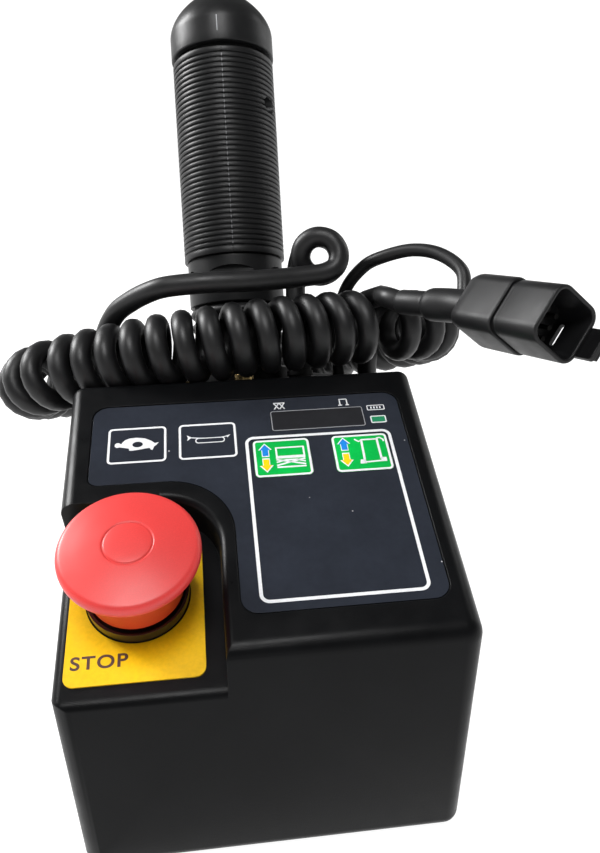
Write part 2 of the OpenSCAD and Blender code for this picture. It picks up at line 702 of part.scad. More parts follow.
module housing() {
    color(housing_colour) difference() {
        union() {
            difference() {
                housing_outside();
                difference() {
                    housing_cavity();
                    on_panel() recess_cut(recess_depth + wall, wall);
                }
                base_opening();
            }
            at_base_screws() translate([0, 0, shell_z]) cylinder(d = base_boss_d, h = base_screw_top - shell_z);
            at_board_screws() translate([0, 0, board_t])
                cylinder(d = boss_d, h = -board_top - wall / 2);
        }
        at_base_screws() translate([0, 0, -cut])
            cylinder(d = base_screw_d + 2 * run_fit, h = base_screw_top + 2 * cut);
        at_board_screws() cylinder(d = board_screw_d, h = -board_z - wall);
        on_panel() {
            translate([0, 0, -pocket_t]) linear_extrude(height = pocket_t + cut) keypad_outline(pocket_gap);
            panel_openings(-wall - cut, wall + 2 * cut);
        }
        on_floor() translate([0, 0, -wall - cut])
            cylinder(d = stop_barrel_d + 2 * side_fit, h = wall + 2 * cut);
        on_stick() translate([0, 0, -wall - cut]) cylinder(d = deck_hole_d, h = wall + 2 * cut);
        at_stick_screws() translate([0, 0, -wall - cut])
            cylinder(d = stick_screw_d + 2 * side_fit, h = wall + 2 * cut);
        on_deck() translate([gland_at[0], gland_at[1], -wall - cut])
            cylinder(d = gland_thread_d + 2 * side_fit, h = wall + 2 * cut);
        on_deck() translate([AUX[0][0], AUX[0][1], -wall - cut])
            cylinder(d = grommet_neck_d, h = wall + 2 * cut);
    }
}

// Countersunk base screws: their sink below the plate and their head
screw_sink = 0.2;
base_head_share = 1.75;
base_head_d = base_screw_d * base_head_share;
base_head_t = (base_head_d - base_screw_d) / 2;
module base_screws() {
    color("#8c8c8c") at_base_screws() translate([0, 0, screw_sink]) difference() {
        union() {
            cylinder(d1 = base_head_d, d2 = base_screw_d, h = base_head_t);
            cylinder(d = base_screw_d, h = base_screw_top - 2 * screw_sink);
        }
        translate([0, 0, -cut]) cylinder(d = base_screw_d * socket_share, h = cut + base_head_t, $fn = 6);
    }
}
module base_gasket() {
    color("#111111") translate([0, 0, base_t]) difference() {
        round_plate(plate_w, plate_d, gasket_t, base_r);
        translate([0, 0, -cut])
            round_plate(plate_w - 2 * ledge_w, plate_d - 2 * ledge_w, gasket_t + 2 * cut, base_r);
        translate([0, 0, -base_t]) at_base_screws() translate([0, 0, base_t - cut])
            cylinder(d = base_screw_d + 2 * side_fit, h = gasket_t + 2 * cut);
    }
}
insert_wall = 1.5;
insert_d = mount_hole_d + 2 * insert_wall;
insert_flange = 1.5;
module base_plate() {
    color("#26272a") difference() {
        round_plate(plate_w, plate_d, base_t, base_r);
        at_base_screws() {
            translate([0, 0, -cut]) cylinder(d = base_screw_d + 2 * side_fit, h = base_t + 2 * cut);
            translate([0, 0, -cut]) cylinder(d1 = base_head_d + 2 * (cut + screw_sink + side_fit),
                d2 = base_screw_d + 2 * side_fit, h = cut + screw_sink + base_head_t);
        }
        at_mounts() translate([0, 0, -cut]) cylinder(d = insert_d + 2 * run_fit, h = base_t + 2 * cut);
    }
}
module base_inserts() {
    color("#b08d4a") at_mounts() difference() {
        union() {
            cylinder(d = insert_d, h = base_t + insert_d / 2);
            translate([0, 0, base_t]) cylinder(d = insert_d + 2 * insert_flange, h = insert_flange);
        }
        translate([0, 0, -cut]) cylinder(d = mount_hole_d, h = base_t + insert_d / 2 + 2 * cut);
    }
}

module panel_overlay() {
    color("#15171d") on_panel() difference() {
        translate([0, 0, -pocket_t]) linear_extrude(height = overlay_t) keypad_outline(0);
        panel_openings(-wall, wall + cut);
    }
}
module window(x, y, w, d, low) {
    on_panel() {
        window_block(x, y, w, d, 0, low, -overlay_sink - low);
        window_block(x, y, w, d, window_flange, -wall - window_flange_t, window_flange_t);
    }
}
module display_window() {
    color("#2c2f33") window(display_x, display_y, display_w, display_h, -wall - window_flange_t);
}
module status_window() {
    color("#a9adb0") window(status_x, status_y, status_w, status_h, board_top + led_t + key_rest_gap);
}
module display_module() {
    w = display_w + 2 * window_flange;
    top = -wall - window_flange_t - key_rest_gap;
    color("#3a4a3c") on_panel()
        window_block(display_x, display_y, w, display_module_h, 0, board_top, top - board_top);
}
chip_w = 12;
chip_in = 30;
chip_x = field_x + chip_in;
chip_up = 22;
chip_y = field_y + chip_up;
module circuit_board() {
    color("#2c5a3a") on_panel() {
        difference() {
            translate([0, 0, board_z]) {
                translate([-board_half, board_mid_y, 0])
                    cube([2 * board_half, board_top_y - board_mid_y, board_t]);
                translate([board_low_x, board_low_y, 0])
                    cube([board_half - board_low_x, board_mid_y - board_low_y + board_gap, board_t]);
            }
            for (p = BOARD_HOLES) translate([p[0], p[1], board_z - cut])
                cylinder(d = board_screw_d + 2 * side_fit, h = board_t + 2 * cut);
        }
        for (x = [chip_x - chip_w, chip_x + chip_w])
            translate([x - chip_w / 2, chip_y - chip_w / 2, board_top]) cube([chip_w, chip_w, chip_t]);
        translate([status_x - status_w / 4, status_y - status_h / 4, board_top])
            cube([status_w / 2, status_h / 2, led_t]);
        translate([chip_x - chip_w, chip_y + chip_w, board_z - socket_h])
            cube([2 * chip_w, chip_w / 2, socket_h]);
    }
}
module board_screws() {
    color("#8c8c8c") at_board_screws() rotate([180, 0, 0])
        screw(board_screw_d - 2 * run_fit, board_screw_l, 2 * board_screw_d, board_screw_d / 2);
}
module buzzer() {
    color("#101010") on_panel() translate([chip_x - chip_w, chip_y - chip_w, board_z - buzzer_h]) difference() {
        cylinder(d = buzzer_d, h = buzzer_h);
        translate([0, 0, -cut]) cylinder(d = buzzer_d / 6, h = 2 * cut);
    }
}
module key_switches() {
    color("#22262a") on_panel() for (k = KEYS) translate([k[0], k[1], board_top]) {
        translate([-switch_w / 2, -switch_w / 2, 0]) cube([switch_w, switch_w, switch_h - key_travel]);
        cylinder(d = switch_w / 2, h = switch_h);
    }
}
module key_cap(k) {
    top = -overlay_sink;
    foot = -wall - key_rest_gap - key_flange_t;
    on_panel() {
        key_block(k, 0, foot, top - foot);
        key_block(k, key_flange, foot, key_flange_t);
    }
}
module slow_key() {
    color("#15171d") key_cap(KEYS[0]);
}
module horn_key() {
    color("#15171d") key_cap(KEYS[1]);
}
module lift_key() {
    color("#2a8a4a") key_cap(KEYS[2]);
}
module drive_key() {
    color("#2a8a4a") key_cap(KEYS[3]);
}

// Stop button pieces, heights above the recess floor
label_h = 45;
label_t = 0.5;
label_r = 3;
label_shift = [-0.4, -4.7];
seal_t = 0.8;
collar_rim_t = 1;
collar_wall_h = 4.2;
collar_wall_t = 0.9;
collar_in_d = stop_collar_d - 2 * collar_wall_t;
barrel_l = 12;
stop_nut_t = 5;
stem_d = 14;
stem_low = 13;
neck_gap = 0.4;
neck_d = collar_in_d - 2 * neck_gap;
neck_rise = 1.4;
neck_low = collar_wall_h + neck_rise;
rim_t = 5;
rim_low = stop_rim_h - rim_t;
stem_down = 3;
stem_high = rim_low - stem_down;
// Length of the head's own part of the neck, and the gap that it turns above
head_neck_l = 4.5;
turn_gap = 0.1;
head_low = rim_low - head_neck_l;
dome_h = 2.2;
head_edge_r = 2.2;
contact_w = 30;
contact_h = 25;
module stop_label() {
    color("#e0b400") on_floor() difference() {
        translate([label_shift[0], label_shift[1], 0]) round_plate(label_w, label_h, label_t, label_r);
        translate([0, 0, -cut]) cylinder(d = stop_collar_d + 4 * side_fit, h = label_t + 2 * cut);
    }
}
module stop_seal() {
    color("#111111") on_floor() ring(stop_collar_d, stop_barrel_d + 2 * side_fit, seal_t);
}
module stop_collar() {
    color("#151515") on_floor() difference() {
        union() {
            translate([0, 0, seal_t]) cylinder(d = stop_collar_d, h = collar_wall_h - seal_t);
            translate([0, 0, -barrel_l]) cylinder(d = stop_barrel_d, h = barrel_l + collar_rim_t);
        }
        translate([0, 0, seal_t + collar_rim_t]) cylinder(d = collar_in_d, h = collar_wall_h);
        translate([0, 0, -barrel_l - cut]) cylinder(d = stem_d + 2 * run_fit, h = barrel_l + 3 * cut);
    }
}
module stop_nut() {
    color("#3a3a3a") on_floor() translate([0, 0, -wall - stop_nut_t]) difference() {
        cylinder(d = stop_collar_d, h = stop_nut_t, $fn = 6);
        translate([0, 0, -cut]) cylinder(d = stop_barrel_d + 2 * run_fit, h = stop_nut_t + 2 * cut);
    }
}
module stop_plunger() {
    color("#c8382c") on_floor() {
        translate([0, 0, -stem_low]) cylinder(d = stem_d, h = stem_low + stem_high);
        translate([0, 0, neck_low]) cylinder(d = neck_d, h = head_low - turn_gap - neck_low);
    }
}
module stop_head() {
    dome_r = (pow(stop_head_d / 2 - head_edge_r, 2) / dome_h + dome_h) / 2;
    color("#c8382c") on_floor() difference() {
        union() {
            translate([0, 0, head_low]) cylinder(d = neck_d, h = head_neck_l + cut);
            translate([0, 0, rim_low]) rotate_extrude() {
                square([stop_head_d / 2 - head_edge_r, stop_rim_h - rim_low]);
                translate([0, head_edge_r]) square([stop_head_d / 2, stop_rim_h - rim_low - 2 * head_edge_r]);
                for (z = [head_edge_r, stop_rim_h - rim_low - head_edge_r])
                    translate([stop_head_d / 2 - head_edge_r, z]) circle(r = head_edge_r);
            }
            intersection() {
                translate([0, 0, stop_rim_h + dome_h - dome_r]) sphere(r = dome_r);
                translate([0, 0, stop_rim_h - cut])
                    cylinder(d = stop_head_d - 2 * head_edge_r, h = dome_h + 2 * cut);
            }
        }
        translate([0, 0, head_low - cut]) cylinder(d = stem_d + 2 * run_fit, h = stem_high - head_low + cut);
    }
}
module stop_contact_block() {
    deep = stem_low - barrel_l + stop_travel + cut;
    color("#2b4a38") on_floor() translate([0, 0, -barrel_l - contact_h]) difference() {
        translate([-contact_w / 2, -contact_w / 2, 0]) cube([contact_w, contact_w, contact_h]);
        translate([0, 0, contact_h - deep]) cylinder(d = stem_d + 4 * side_fit, h = deep + cut);
    }
}

// Joystick: the fixed base, the pivot below the deck and the pieces that tilt
throat_r = 11.8;
base_dome_r = norm([rim_in_d / 2, pivot_depth + plate_h + rim_h]);
module stick_base() {
    color("#161618") on_stick() difference() {
        union() {
            rotate([0, 0, 45]) round_plate(2 * plate_half, 2 * plate_half, plate_h, plate_r);
            cylinder(d = rim_d, h = plate_h + rim_h);
            intersection() {
                translate([0, 0, -pivot_depth]) sphere(r = base_dome_r);
                translate([0, 0, plate_h]) cylinder(d = rim_in_d, h = base_dome_r);
            }
        }
        translate([0, 0, -cut]) cylinder(r = throat_r, h = base_dome_r);
        for (a = [0 : 90 : 270]) rotate([0, 0, a]) translate([stick_screw_r, 0, -cut])
            cylinder(d = stick_screw_d + 2 * side_fit, h = plate_h + 2 * cut);
    }
}
module stick_base_screws() {
    color("#c9a24a") at_stick_screws() translate([0, 0, plate_h])
        screw(stick_screw_d, stick_screw_l, stick_head_d, stick_head_h);
}
cheek_top = -wall - yoke_t;
module stick_yoke() {
    color("#77797c") on_stick() difference() {
        union() {
            translate([0, 0, cheek_top]) rotate([0, 0, 45])
                round_plate(2 * yoke_half, 2 * yoke_half, yoke_t, plate_r);
            for (s = [-1, 1]) {
                translate([s * cheek_x - cheek_t / 2, -cheek_d / 2, -pivot_depth])
                    cube([cheek_t, cheek_d, pivot_depth + cheek_top + yoke_t / 2]);
                translate([s * cheek_x, 0, -pivot_depth]) bar(cheek_d, cheek_t);
            }
        }
        translate([0, 0, cheek_top - cut]) cylinder(d = 2 * (cheek_x - cheek_t / 2), h = yoke_t + 2 * cut);
        for (a = [0 : 90 : 270]) rotate([0, 0, a]) translate([stick_screw_r, 0, cheek_top - cut])
            cylinder(d = stick_screw_d + 2 * run_fit, h = yoke_t + 2 * cut);
        translate([0, 0, -pivot_depth]) bar(pin_d + 2 * run_fit, 4 * cheek_x);
    }
}
pin_l = 2 * (cheek_x + cheek_t / 2) + 2 * cut;
module pivot_pin() {
    color("#b5b7b9") on_stick() translate([0, 0, -pivot_depth]) bar(pin_d, pin_l);
}
module centring_spring() {
    x = hub_w / 2 + spring_gap;
    l = cheek_x - cheek_t / 2 - x;
    color("#9a9c9e") on_stick() translate([x + l / 2, 0, -pivot_depth]) difference() {
        bar(spring_d, l);
        bar(pin_d + 2 * side_fit, l + 2 * cut);
    }
}
module position_sensor() {
    x = cheek_x + cheek_t / 2;
    color("#1f3f6a") on_stick() difference() {
        translate([-x - sensor_t, -sensor_w / 2, -pivot_depth - sensor_w / 2])
            cube([sensor_t, sensor_w, sensor_w]);
        translate([0, 0, -pivot_depth]) bar(pin_d + 2 * side_fit, pin_l + 2 * side_fit);
    }
}
seat_step = 0.5;
seat_d = grip_in_d + 2 * seat_step;
seat_top = cap_start + seat_h;
grip_ring_t = 3;
module stick_shaft() {
    color("#3c3d40") on_stick() difference() {
        union() {
            translate([0, 0, -pivot_depth]) bar(hub_d, hub_w);
            translate([0, 0, -pivot_depth]) cylinder(d = shaft_d, h = pivot_depth + seat_top);
            translate([0, 0, grip_end]) cylinder(d = seat_d, h = seat_top - grip_end);
        }
        translate([0, 0, -pivot_depth]) bar(pin_d + 2 * run_fit, hub_w + 2 * cut);
        translate([0, 0, cap_axis_h]) rotate([0, 0, 90]) bar(cap_pin_d + 2 * run_fit, seat_d + 2 * cut);
    }
}
module stick_boot() {
    pitch = (collar_start - boot_start) / boot_folds;
    color("#131315") on_stick() difference() {
        for (i = [0 : boot_folds - 1]) translate([0, 0, boot_start + i * pitch]) {
            cylinder(d1 = boot_d - 2 * boot_groove, d2 = boot_d, h = pitch / 2);
            translate([0, 0, pitch / 2]) cylinder(d1 = boot_d, d2 = boot_d - 2 * boot_groove, h = pitch / 2);
        }
        translate([0, 0, boot_start - cut])
            cylinder(d = boot_d - 4 * boot_groove, h = collar_start - boot_start - boot_groove + cut);
        translate([0, 0, boot_start]) cylinder(d = shaft_d + 2 * run_fit, h = collar_start);
    }
}
// Windows round the collar: the middle of each and its width, in degrees from the right
COLLAR_WINDOWS = [[-97, 58], [-158, 22], [-30, 40], [90, 60]];
window_low = 51.3;
window_deep = 2;
module stick_collar() {
    color("#17181a") on_stick() difference() {
        union() {
            translate([0, 0, collar_start]) cylinder(d = collar_d, h = grip_start - collar_start);
            cylinder(d = spigot_d, h = grip_start + spigot_h);
        }
        translate([0, 0, -cut]) cylinder(d = 2 * body_w, h = collar_start + cut);
        translate([0, 0, -cut]) cylinder(d = shaft_d + 2 * run_fit, h = grip_end);
        for (w = COLLAR_WINDOWS) translate([0, 0, window_low]) rotate([0, 0, w[0] - w[1] / 2])
            rotate_extrude(angle = w[1]) translate([collar_d / 2 - window_deep, 0])
                square([window_deep + cut, window_h]);
    }
}
rib_count = floor((grip_len - 2 * rib_margin) / rib_pitch);
module grip_half(s) {
    on_stick() rotate([0, 0, seam_turn]) {
        difference() {
            translate([0, 0, grip_start]) rotate([0, 0, s * 90 - 90]) rotate([0, 0, -90])
                rotate_extrude(angle = 180) difference() {
                    translate([grip_in_d / 2, 0]) square([(grip_d - grip_in_d) / 2, grip_len]);
                    for (i = [0 : rib_count])
                        translate([grip_d / 2 - rib_depth, rib_margin + i * rib_pitch])
                            square([rib_depth + cut, rib_gap]);
                }
            translate([0, post_e, grip_screw_h])
                bar(grip_screw_d + 2 * run_fit, s > 0 ? grip_d + 2 * cut : grip_blind_l);
            if (s > 0) translate([grip_d, post_e, grip_screw_h]) bar(grip_hole_d, grip_d + 2 * grip_sink);
        }
        // Upper ring round the shaft, and the screw post
        difference() {
            union() {
                translate([0, 0, grip_end - grip_ring_t]) rotate([0, 0, s * 90 - 90]) rotate([0, 0, -90])
                    rotate_extrude(angle = 180) translate([shaft_d / 2 + run_fit, 0])
                        square([(grip_in_d - shaft_d) / 2 + cut / 2, grip_ring_t]);
                intersection() {
                    translate([s * grip_in_d / 4, post_e, grip_screw_h]) bar(post_d, grip_in_d / 2);
                    translate([0, 0, grip_screw_h - post_d]) cylinder(d = grip_in_d + cut, h = 2 * post_d);
                }
            }
            translate([0, post_e, grip_screw_h]) bar(grip_screw_d + 2 * run_fit, s > 0 ? grip_d : grip_blind_l);
            if (s > 0) translate([grip_d, post_e, grip_screw_h]) bar(grip_hole_d, grip_d + 2 * grip_sink);
        }
    }
}
grip_sink = 7;
module grip_left() {
    color("#18191b") grip_half(-1);
}
module grip_right() {
    color("#18191b") grip_half(1);
}
module grip_screw() {
    x = grip_d / 2 - grip_sink;
    color("#55575a") on_stick() rotate([0, 0, seam_turn])
        translate([x, post_e, grip_screw_h]) rotate([0, 90, 0])
            screw(grip_screw_d, x + grip_screw_past, grip_hole_d - 4 * side_fit, grip_screw_d / 2);
}
cap_pin_d = 3;
cap_pin_l = cap_d - cap_wall;
module cap_pin() {
    color("#a0a2a4") on_stick() translate([0, 0, cap_axis_h]) rotate([0, 0, 90]) bar(cap_pin_d, cap_pin_l);
}
rocker_w = 14;
rocker_d = 10;
rocker_h = 7;
module cap_switch() {
    color("#222426") on_stick() translate([-rocker_w / 2, -rocker_d / 2, seat_top]) {
        cube([rocker_w, rocker_d, rocker_h]);
        translate([rocker_w / 2, rocker_d / 2, rocker_h]) cylinder(d = rocker_d / 2, h = rocker_plunger_h);
    }
}
rocker_plunger_h = 5;
cap_straight = 9.5;
cap_top_r = 10;
cap_curve_share = 1.25;
cap_step = 9;
function cap_curve(r, h, top) = concat([[0, 0], [r, 0]],
    [for (a = [0 : cap_step : 90]) [top + (r - top) * pow(cos(a), cap_curve_share),
        cap_straight + (h - cap_straight) * sin(a)]],
    [[0, h]]);
module steer_cap() {
    color("#17181a") on_stick() difference() {
        translate([0, 0, cap_start]) rotate_extrude() polygon(cap_curve(cap_d / 2, cap_h, cap_top_r));
        translate([0, 0, cap_start - cut / 10]) rotate_extrude()
            polygon(cap_curve(cap_d / 2 - cap_wall, cap_h - cap_wall, cap_top_r - cap_wall / 2));
        translate([0, 0, cap_axis_h]) rotate([0, 0, 90]) bar(cap_pin_d + 2 * run_fit, cap_pin_l + 2 * side_fit);
    }
}

// Cord outlets on the deck
gland_nut_t = 4;
gland_nut_share = 1.4;
module cord_gland() {
    rib_z = (gland_top - gland_base_h) / gland_ribs;
    color("#141416") on_deck() translate([gland_at[0], gland_at[1], 0]) difference() {
        union() {
            translate([0, 0, -gland_thread_l]) cylinder(d = gland_thread_d, h = gland_thread_l);
            cylinder(d = gland_base_d, h = gland_base_h);
            translate([0, 0, gland_base_h])
                cylinder(d1 = gland_d - gland_rib, d2 = gland_top_d - gland_rib, h = gland_top - gland_base_h);
            for (i = [0 : gland_ribs - 1]) translate([0, 0, gland_base_h + i * rib_z])
                cylinder(d = gland_d + (gland_top_d - gland_d) * i / (gland_ribs - 1),
                    h = rib_z * gland_rib_share);
        }
        translate([0, 0, -gland_thread_l - cut])
            cylinder(d = cord_d - gland_rib, h = gland_thread_l + gland_base_h);
    }
}
module gland_nut() {
    color("#9a9a9a") on_deck() translate([gland_at[0], gland_at[1], -wall - gland_nut_t]) difference() {
        cylinder(d = gland_nut_share * gland_thread_d, h = gland_nut_t, $fn = 6);
        translate([0, 0, -cut]) cylinder(d = gland_thread_d + 2 * run_fit, h = gland_nut_t + 2 * cut);
    }
}
grommet_neck_d = 9;
grommet_d = 12;
grommet_h = AUX[0][2] + deck_drop;
module aux_grommet() {
    color("#141416") on_deck() translate([AUX[0][0], AUX[0][1], 0]) difference() {
        union() {
            cylinder(d = grommet_d, h = grommet_h / 2);
            cylinder(d1 = grommet_neck_d, d2 = aux_d + 2 * gland_rib, h = grommet_h);
            translate([0, 0, -wall]) cylinder(d = grommet_neck_d - 2 * run_fit, h = wall);
            translate([0, 0, -2 * wall]) cylinder(d = grommet_d, h = wall);
        }
        translate([0, 0, -2 * wall - cut]) cylinder(d = aux_d - gland_rib, h = 2 * wall + grommet_h / 2);
    }
}
module cord_lead() {
    color("#161618") on_ridge() tube(LEAD_PATH, LEAD_DIRS, carried(LEAD_DIRS, [1, 0, 0]),
        same(LEAD_PATH, cord_d / 2), cord_sides);
}
module cord_coil() {
    color("#161618") on_ridge() tube(COIL_PATH, COIL_DIRS, COIL_OUT, same(COIL_PATH, cord_d / 2), curl_sides);
}
module cord_tail() {
    color("#161618") on_ridge() tube(TAIL_PATH, TAIL_DIRS, carried(TAIL_DIRS, [0, 0, 1]),
        same(TAIL_PATH, cord_d / 2), cord_sides);
}
module cord_sleeve() {
    dirs = headings(SLEEVE_PATH, sleeve_dir_0, plug_dir);
    color("#121214") on_ridge() tube(SLEEVE_PATH, dirs, carried(dirs, [0, 0, 1]), SLEEVE_R, sleeve_sides);
}
module aux_lead() {
    color("#121214") on_ridge() tube(AUX_PATH, AUX_DIRS, carried(AUX_DIRS, [1, 0, 0]),
        same(AUX_PATH, aux_d / 2), cord_sides);
}
aux_sleeve_d = 5.6;
aux_sleeve_grip = 0.2;
module aux_sleeve() {
    color("#121214") on_plug() translate([-aux_sleeve_l, aux_in[0], aux_in[1]])
        rotate([0, 90, 0]) cylinder(d1 = aux_d + aux_sleeve_grip, d2 = aux_sleeve_d, h = aux_sleeve_l);
}

// Connector pieces in the connector's own axes
shell_back_w = plug_w + 1;
shell_back_l = 21.5;
shell_back_taper = 4;
plug_seal_l = 1.5;
plug_shell_l = 18;
plug_r = 4.5;
plug_wall = 1.4;
mouth_deep = 14;
contact_rows = [-1, 0, 1];
pin_contact_d = 1.6;
pin_contact_l = 4;
pin_pitch = 4;
// Slot through the shell's side wall: its distance behind the mouth, its width and length
slot_back = 10.5;
slot_w = 2;
slot_l = 7.5;
module square_bar(w, l, r) {
    rotate([0, 90, 0]) round_plate(w, w, l, r);
}
module connector_backshell() {
    color("#121214") on_plug() {
        translate([shell_back_taper, 0, 0]) square_bar(shell_back_w, shell_back_l - shell_back_taper, plug_r);
        hull() {
            square_bar(shell_back_w - shell_back_taper / 2, cut, plug_r - shell_back_taper / 4);
            translate([shell_back_taper, 0, 0]) square_bar(shell_back_w, cut, plug_r);
        }
    }
}
module connector_seal() {
    color("#0c0c0d") on_plug() translate([shell_back_l, 0, 0])
        square_bar(plug_w - cut, plug_seal_l, plug_r - cut / 2);
}
module connector_shell() {
    x = shell_back_l + plug_seal_l;
    color("#141416") on_plug() translate([x, 0, 0]) difference() {
        square_bar(plug_w, plug_shell_l, plug_r);
        translate([plug_shell_l - mouth_deep, 0, 0])
            square_bar(plug_w - 2 * plug_wall, mouth_deep + cut, plug_r - plug_wall);
        translate([plug_shell_l - slot_back - slot_w / 2, plug_w / 2 - plug_wall - cut, -slot_l / 2])
            cube([slot_w, plug_wall + 2 * cut, slot_l]);
    }
}
module connector_contacts() {
    x = shell_back_l + plug_seal_l + plug_shell_l - mouth_deep;
    color("#b08d4a") on_plug() translate([x, 0, 0]) for (y = contact_rows, z = contact_rows)
        translate([0, y * pin_pitch, z * pin_pitch]) rotate([0, 90, 0])
            cylinder(d = pin_contact_d, h = pin_contact_l);
}
// Tongue on the shell's side, past the mouth, with a step at its tip
latch_w = 10;
latch_t = 2;
latch_hold = 6;
latch_past = 5.5;
module connector_latch() {
    x = shell_back_l + plug_seal_l + plug_shell_l - latch_hold;
    color("#141416") on_plug() translate([x, plug_w / 2, -latch_w / 2]) {
        cube([latch_hold + latch_past, latch_t, latch_w]);
        translate([latch_hold + latch_past - latch_t, latch_t / 2, 0]) cube([latch_t, latch_t, latch_w]);
    }
}

housing();
base_gasket();
base_plate();
base_screws();
base_inserts();
panel_overlay();
display_window();
status_window();
display_module();
circuit_board();
board_screws();
buzzer();
key_switches();
slow_key();
horn_key();
lift_key();
drive_key();
stop_label();
stop_seal();
stop_collar();
stop_nut();
stop_plunger();
stop_head();
stop_contact_block();
stick_base();
stick_base_screws();
stick_yoke();
pivot_pin();
centring_spring();
position_sensor();
stick_shaft();
stick_boot();
stick_collar();
grip_left();
grip_right();
grip_screw();
cap_switch();
cap_pin();
steer_cap();
cord_gland();
gland_nut();
cord_lead();
cord_coil();
cord_tail();
cord_sleeve();
aux_grommet();
aux_lead();
aux_sleeve();
connector_backshell();
connector_seal();
connector_shell();
connector_contacts();
connector_latch();
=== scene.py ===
"""Looks for the scissor lift control box. Lengths are in millimetres in the frames that part.scad
names (panel, ridge, deck, stick, recess floor, connector) and turn to metres as meshes are made."""

import math

import bmesh
import bpy
from mathutils import Matrix, Vector


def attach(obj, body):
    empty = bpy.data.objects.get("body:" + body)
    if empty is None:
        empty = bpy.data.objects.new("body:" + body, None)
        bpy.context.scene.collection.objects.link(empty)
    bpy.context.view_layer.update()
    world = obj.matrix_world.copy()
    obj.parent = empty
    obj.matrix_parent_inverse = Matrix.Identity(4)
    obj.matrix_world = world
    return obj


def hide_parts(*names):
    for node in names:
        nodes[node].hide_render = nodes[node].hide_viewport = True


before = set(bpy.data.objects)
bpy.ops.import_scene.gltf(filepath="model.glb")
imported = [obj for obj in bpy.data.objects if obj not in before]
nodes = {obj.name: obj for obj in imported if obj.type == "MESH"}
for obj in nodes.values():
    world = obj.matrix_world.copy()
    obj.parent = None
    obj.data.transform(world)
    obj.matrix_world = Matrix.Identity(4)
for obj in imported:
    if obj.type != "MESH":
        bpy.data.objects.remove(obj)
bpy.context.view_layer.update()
scene = bpy.context.scene
MM = 0.001


# The frames of part.scad
def placed(parent, at=(0, 0, 0), turn=(0, 0, 0)):
    m = parent @ Matrix.Translation(Vector(at))
    for axis, a in zip("ZYX", turn[::-1]):
        m = m @ Matrix.Rotation(math.radians(a), 4, axis)
    return m


BODY_D, FRONT_H, PANEL_LEN, PANEL_SLOPE, DECK_SLOPE, DECK_DROP = 178, 77, 109, 22, 24.6, 8.8
STICK_X, RECESS_AT = 1, (-36.9, 27.9, -12.7)
PLUG_AT, PLUG_TURN = (78.2, -30.1, 15.4), (-32, 15, -71)
WORLD = Matrix.Identity(4)
PANEL = placed(WORLD, (0, -BODY_D / 2, FRONT_H), (PANEL_SLOPE, 0, 0))
RIDGE = placed(WORLD, tuple(PANEL @ Vector((0, PANEL_LEN, 0))), (-DECK_SLOPE, 0, 0))
DECK = placed(RIDGE, (0, 0, -DECK_DROP))
ridge_y = (PANEL @ Vector((0, PANEL_LEN, 0))).y
deck_tilt = math.radians(DECK_SLOPE)
deck_len = (BODY_D / 2 - ridge_y + DECK_DROP * math.sin(deck_tilt)) / math.cos(deck_tilt)
STICK = placed(DECK, (STICK_X, deck_len / 2, 0))
FLOOR = placed(PANEL, RECESS_AT)
PLUG = placed(RIDGE, PLUG_AT, PLUG_TURN)

# Camera: solved from the panel's corners in the photograph
cam_data = bpy.data.cameras.new("camera")
cam_data.lens = 33.1714
cam_data.sensor_width = 36
cam_data.clip_start = 0.01
camera = bpy.data.objects.new("camera", cam_data)
scene.collection.objects.link(camera)
camera.matrix_world = Matrix((
    (0.992539, 0.060327, -0.105958, -0.010958),
    (-0.12142, 0.409771, -0.904071, -0.2552675),
    (-0.011122, 0.910191, 0.414039, 0.2183756),
    (0, 0, 0, 1)))
scene.camera = camera
scene.view_settings.view_transform = "Standard"


# Materials
def map_range(tree, value, low, high, a=0.0, b=1.0):
    """Takes low..high to a..b and holds it at both ends."""
    node = tree.nodes.new("ShaderNodeMapRange")
    tree.links.new(value, node.inputs["Value"])
    for key, number in (("From Min", low), ("From Max", high), ("To Min", a), ("To Max", b)):
        node.inputs[key].default_value = number
    return node.outputs["Result"]


def product(tree, a, b):
    node = tree.nodes.new("ShaderNodeMath")
    node.operation = "MULTIPLY"
    tree.links.new(a, node.inputs[0])
    tree.links.new(b, node.inputs[1])
    return node.outputs[0]


PATCH, GRAIN_SHARE, RELIEF_M, COAT_ROUGH, BEVEL_SAMPLES = 60, 0.35, 0.0001, 0.08, 4


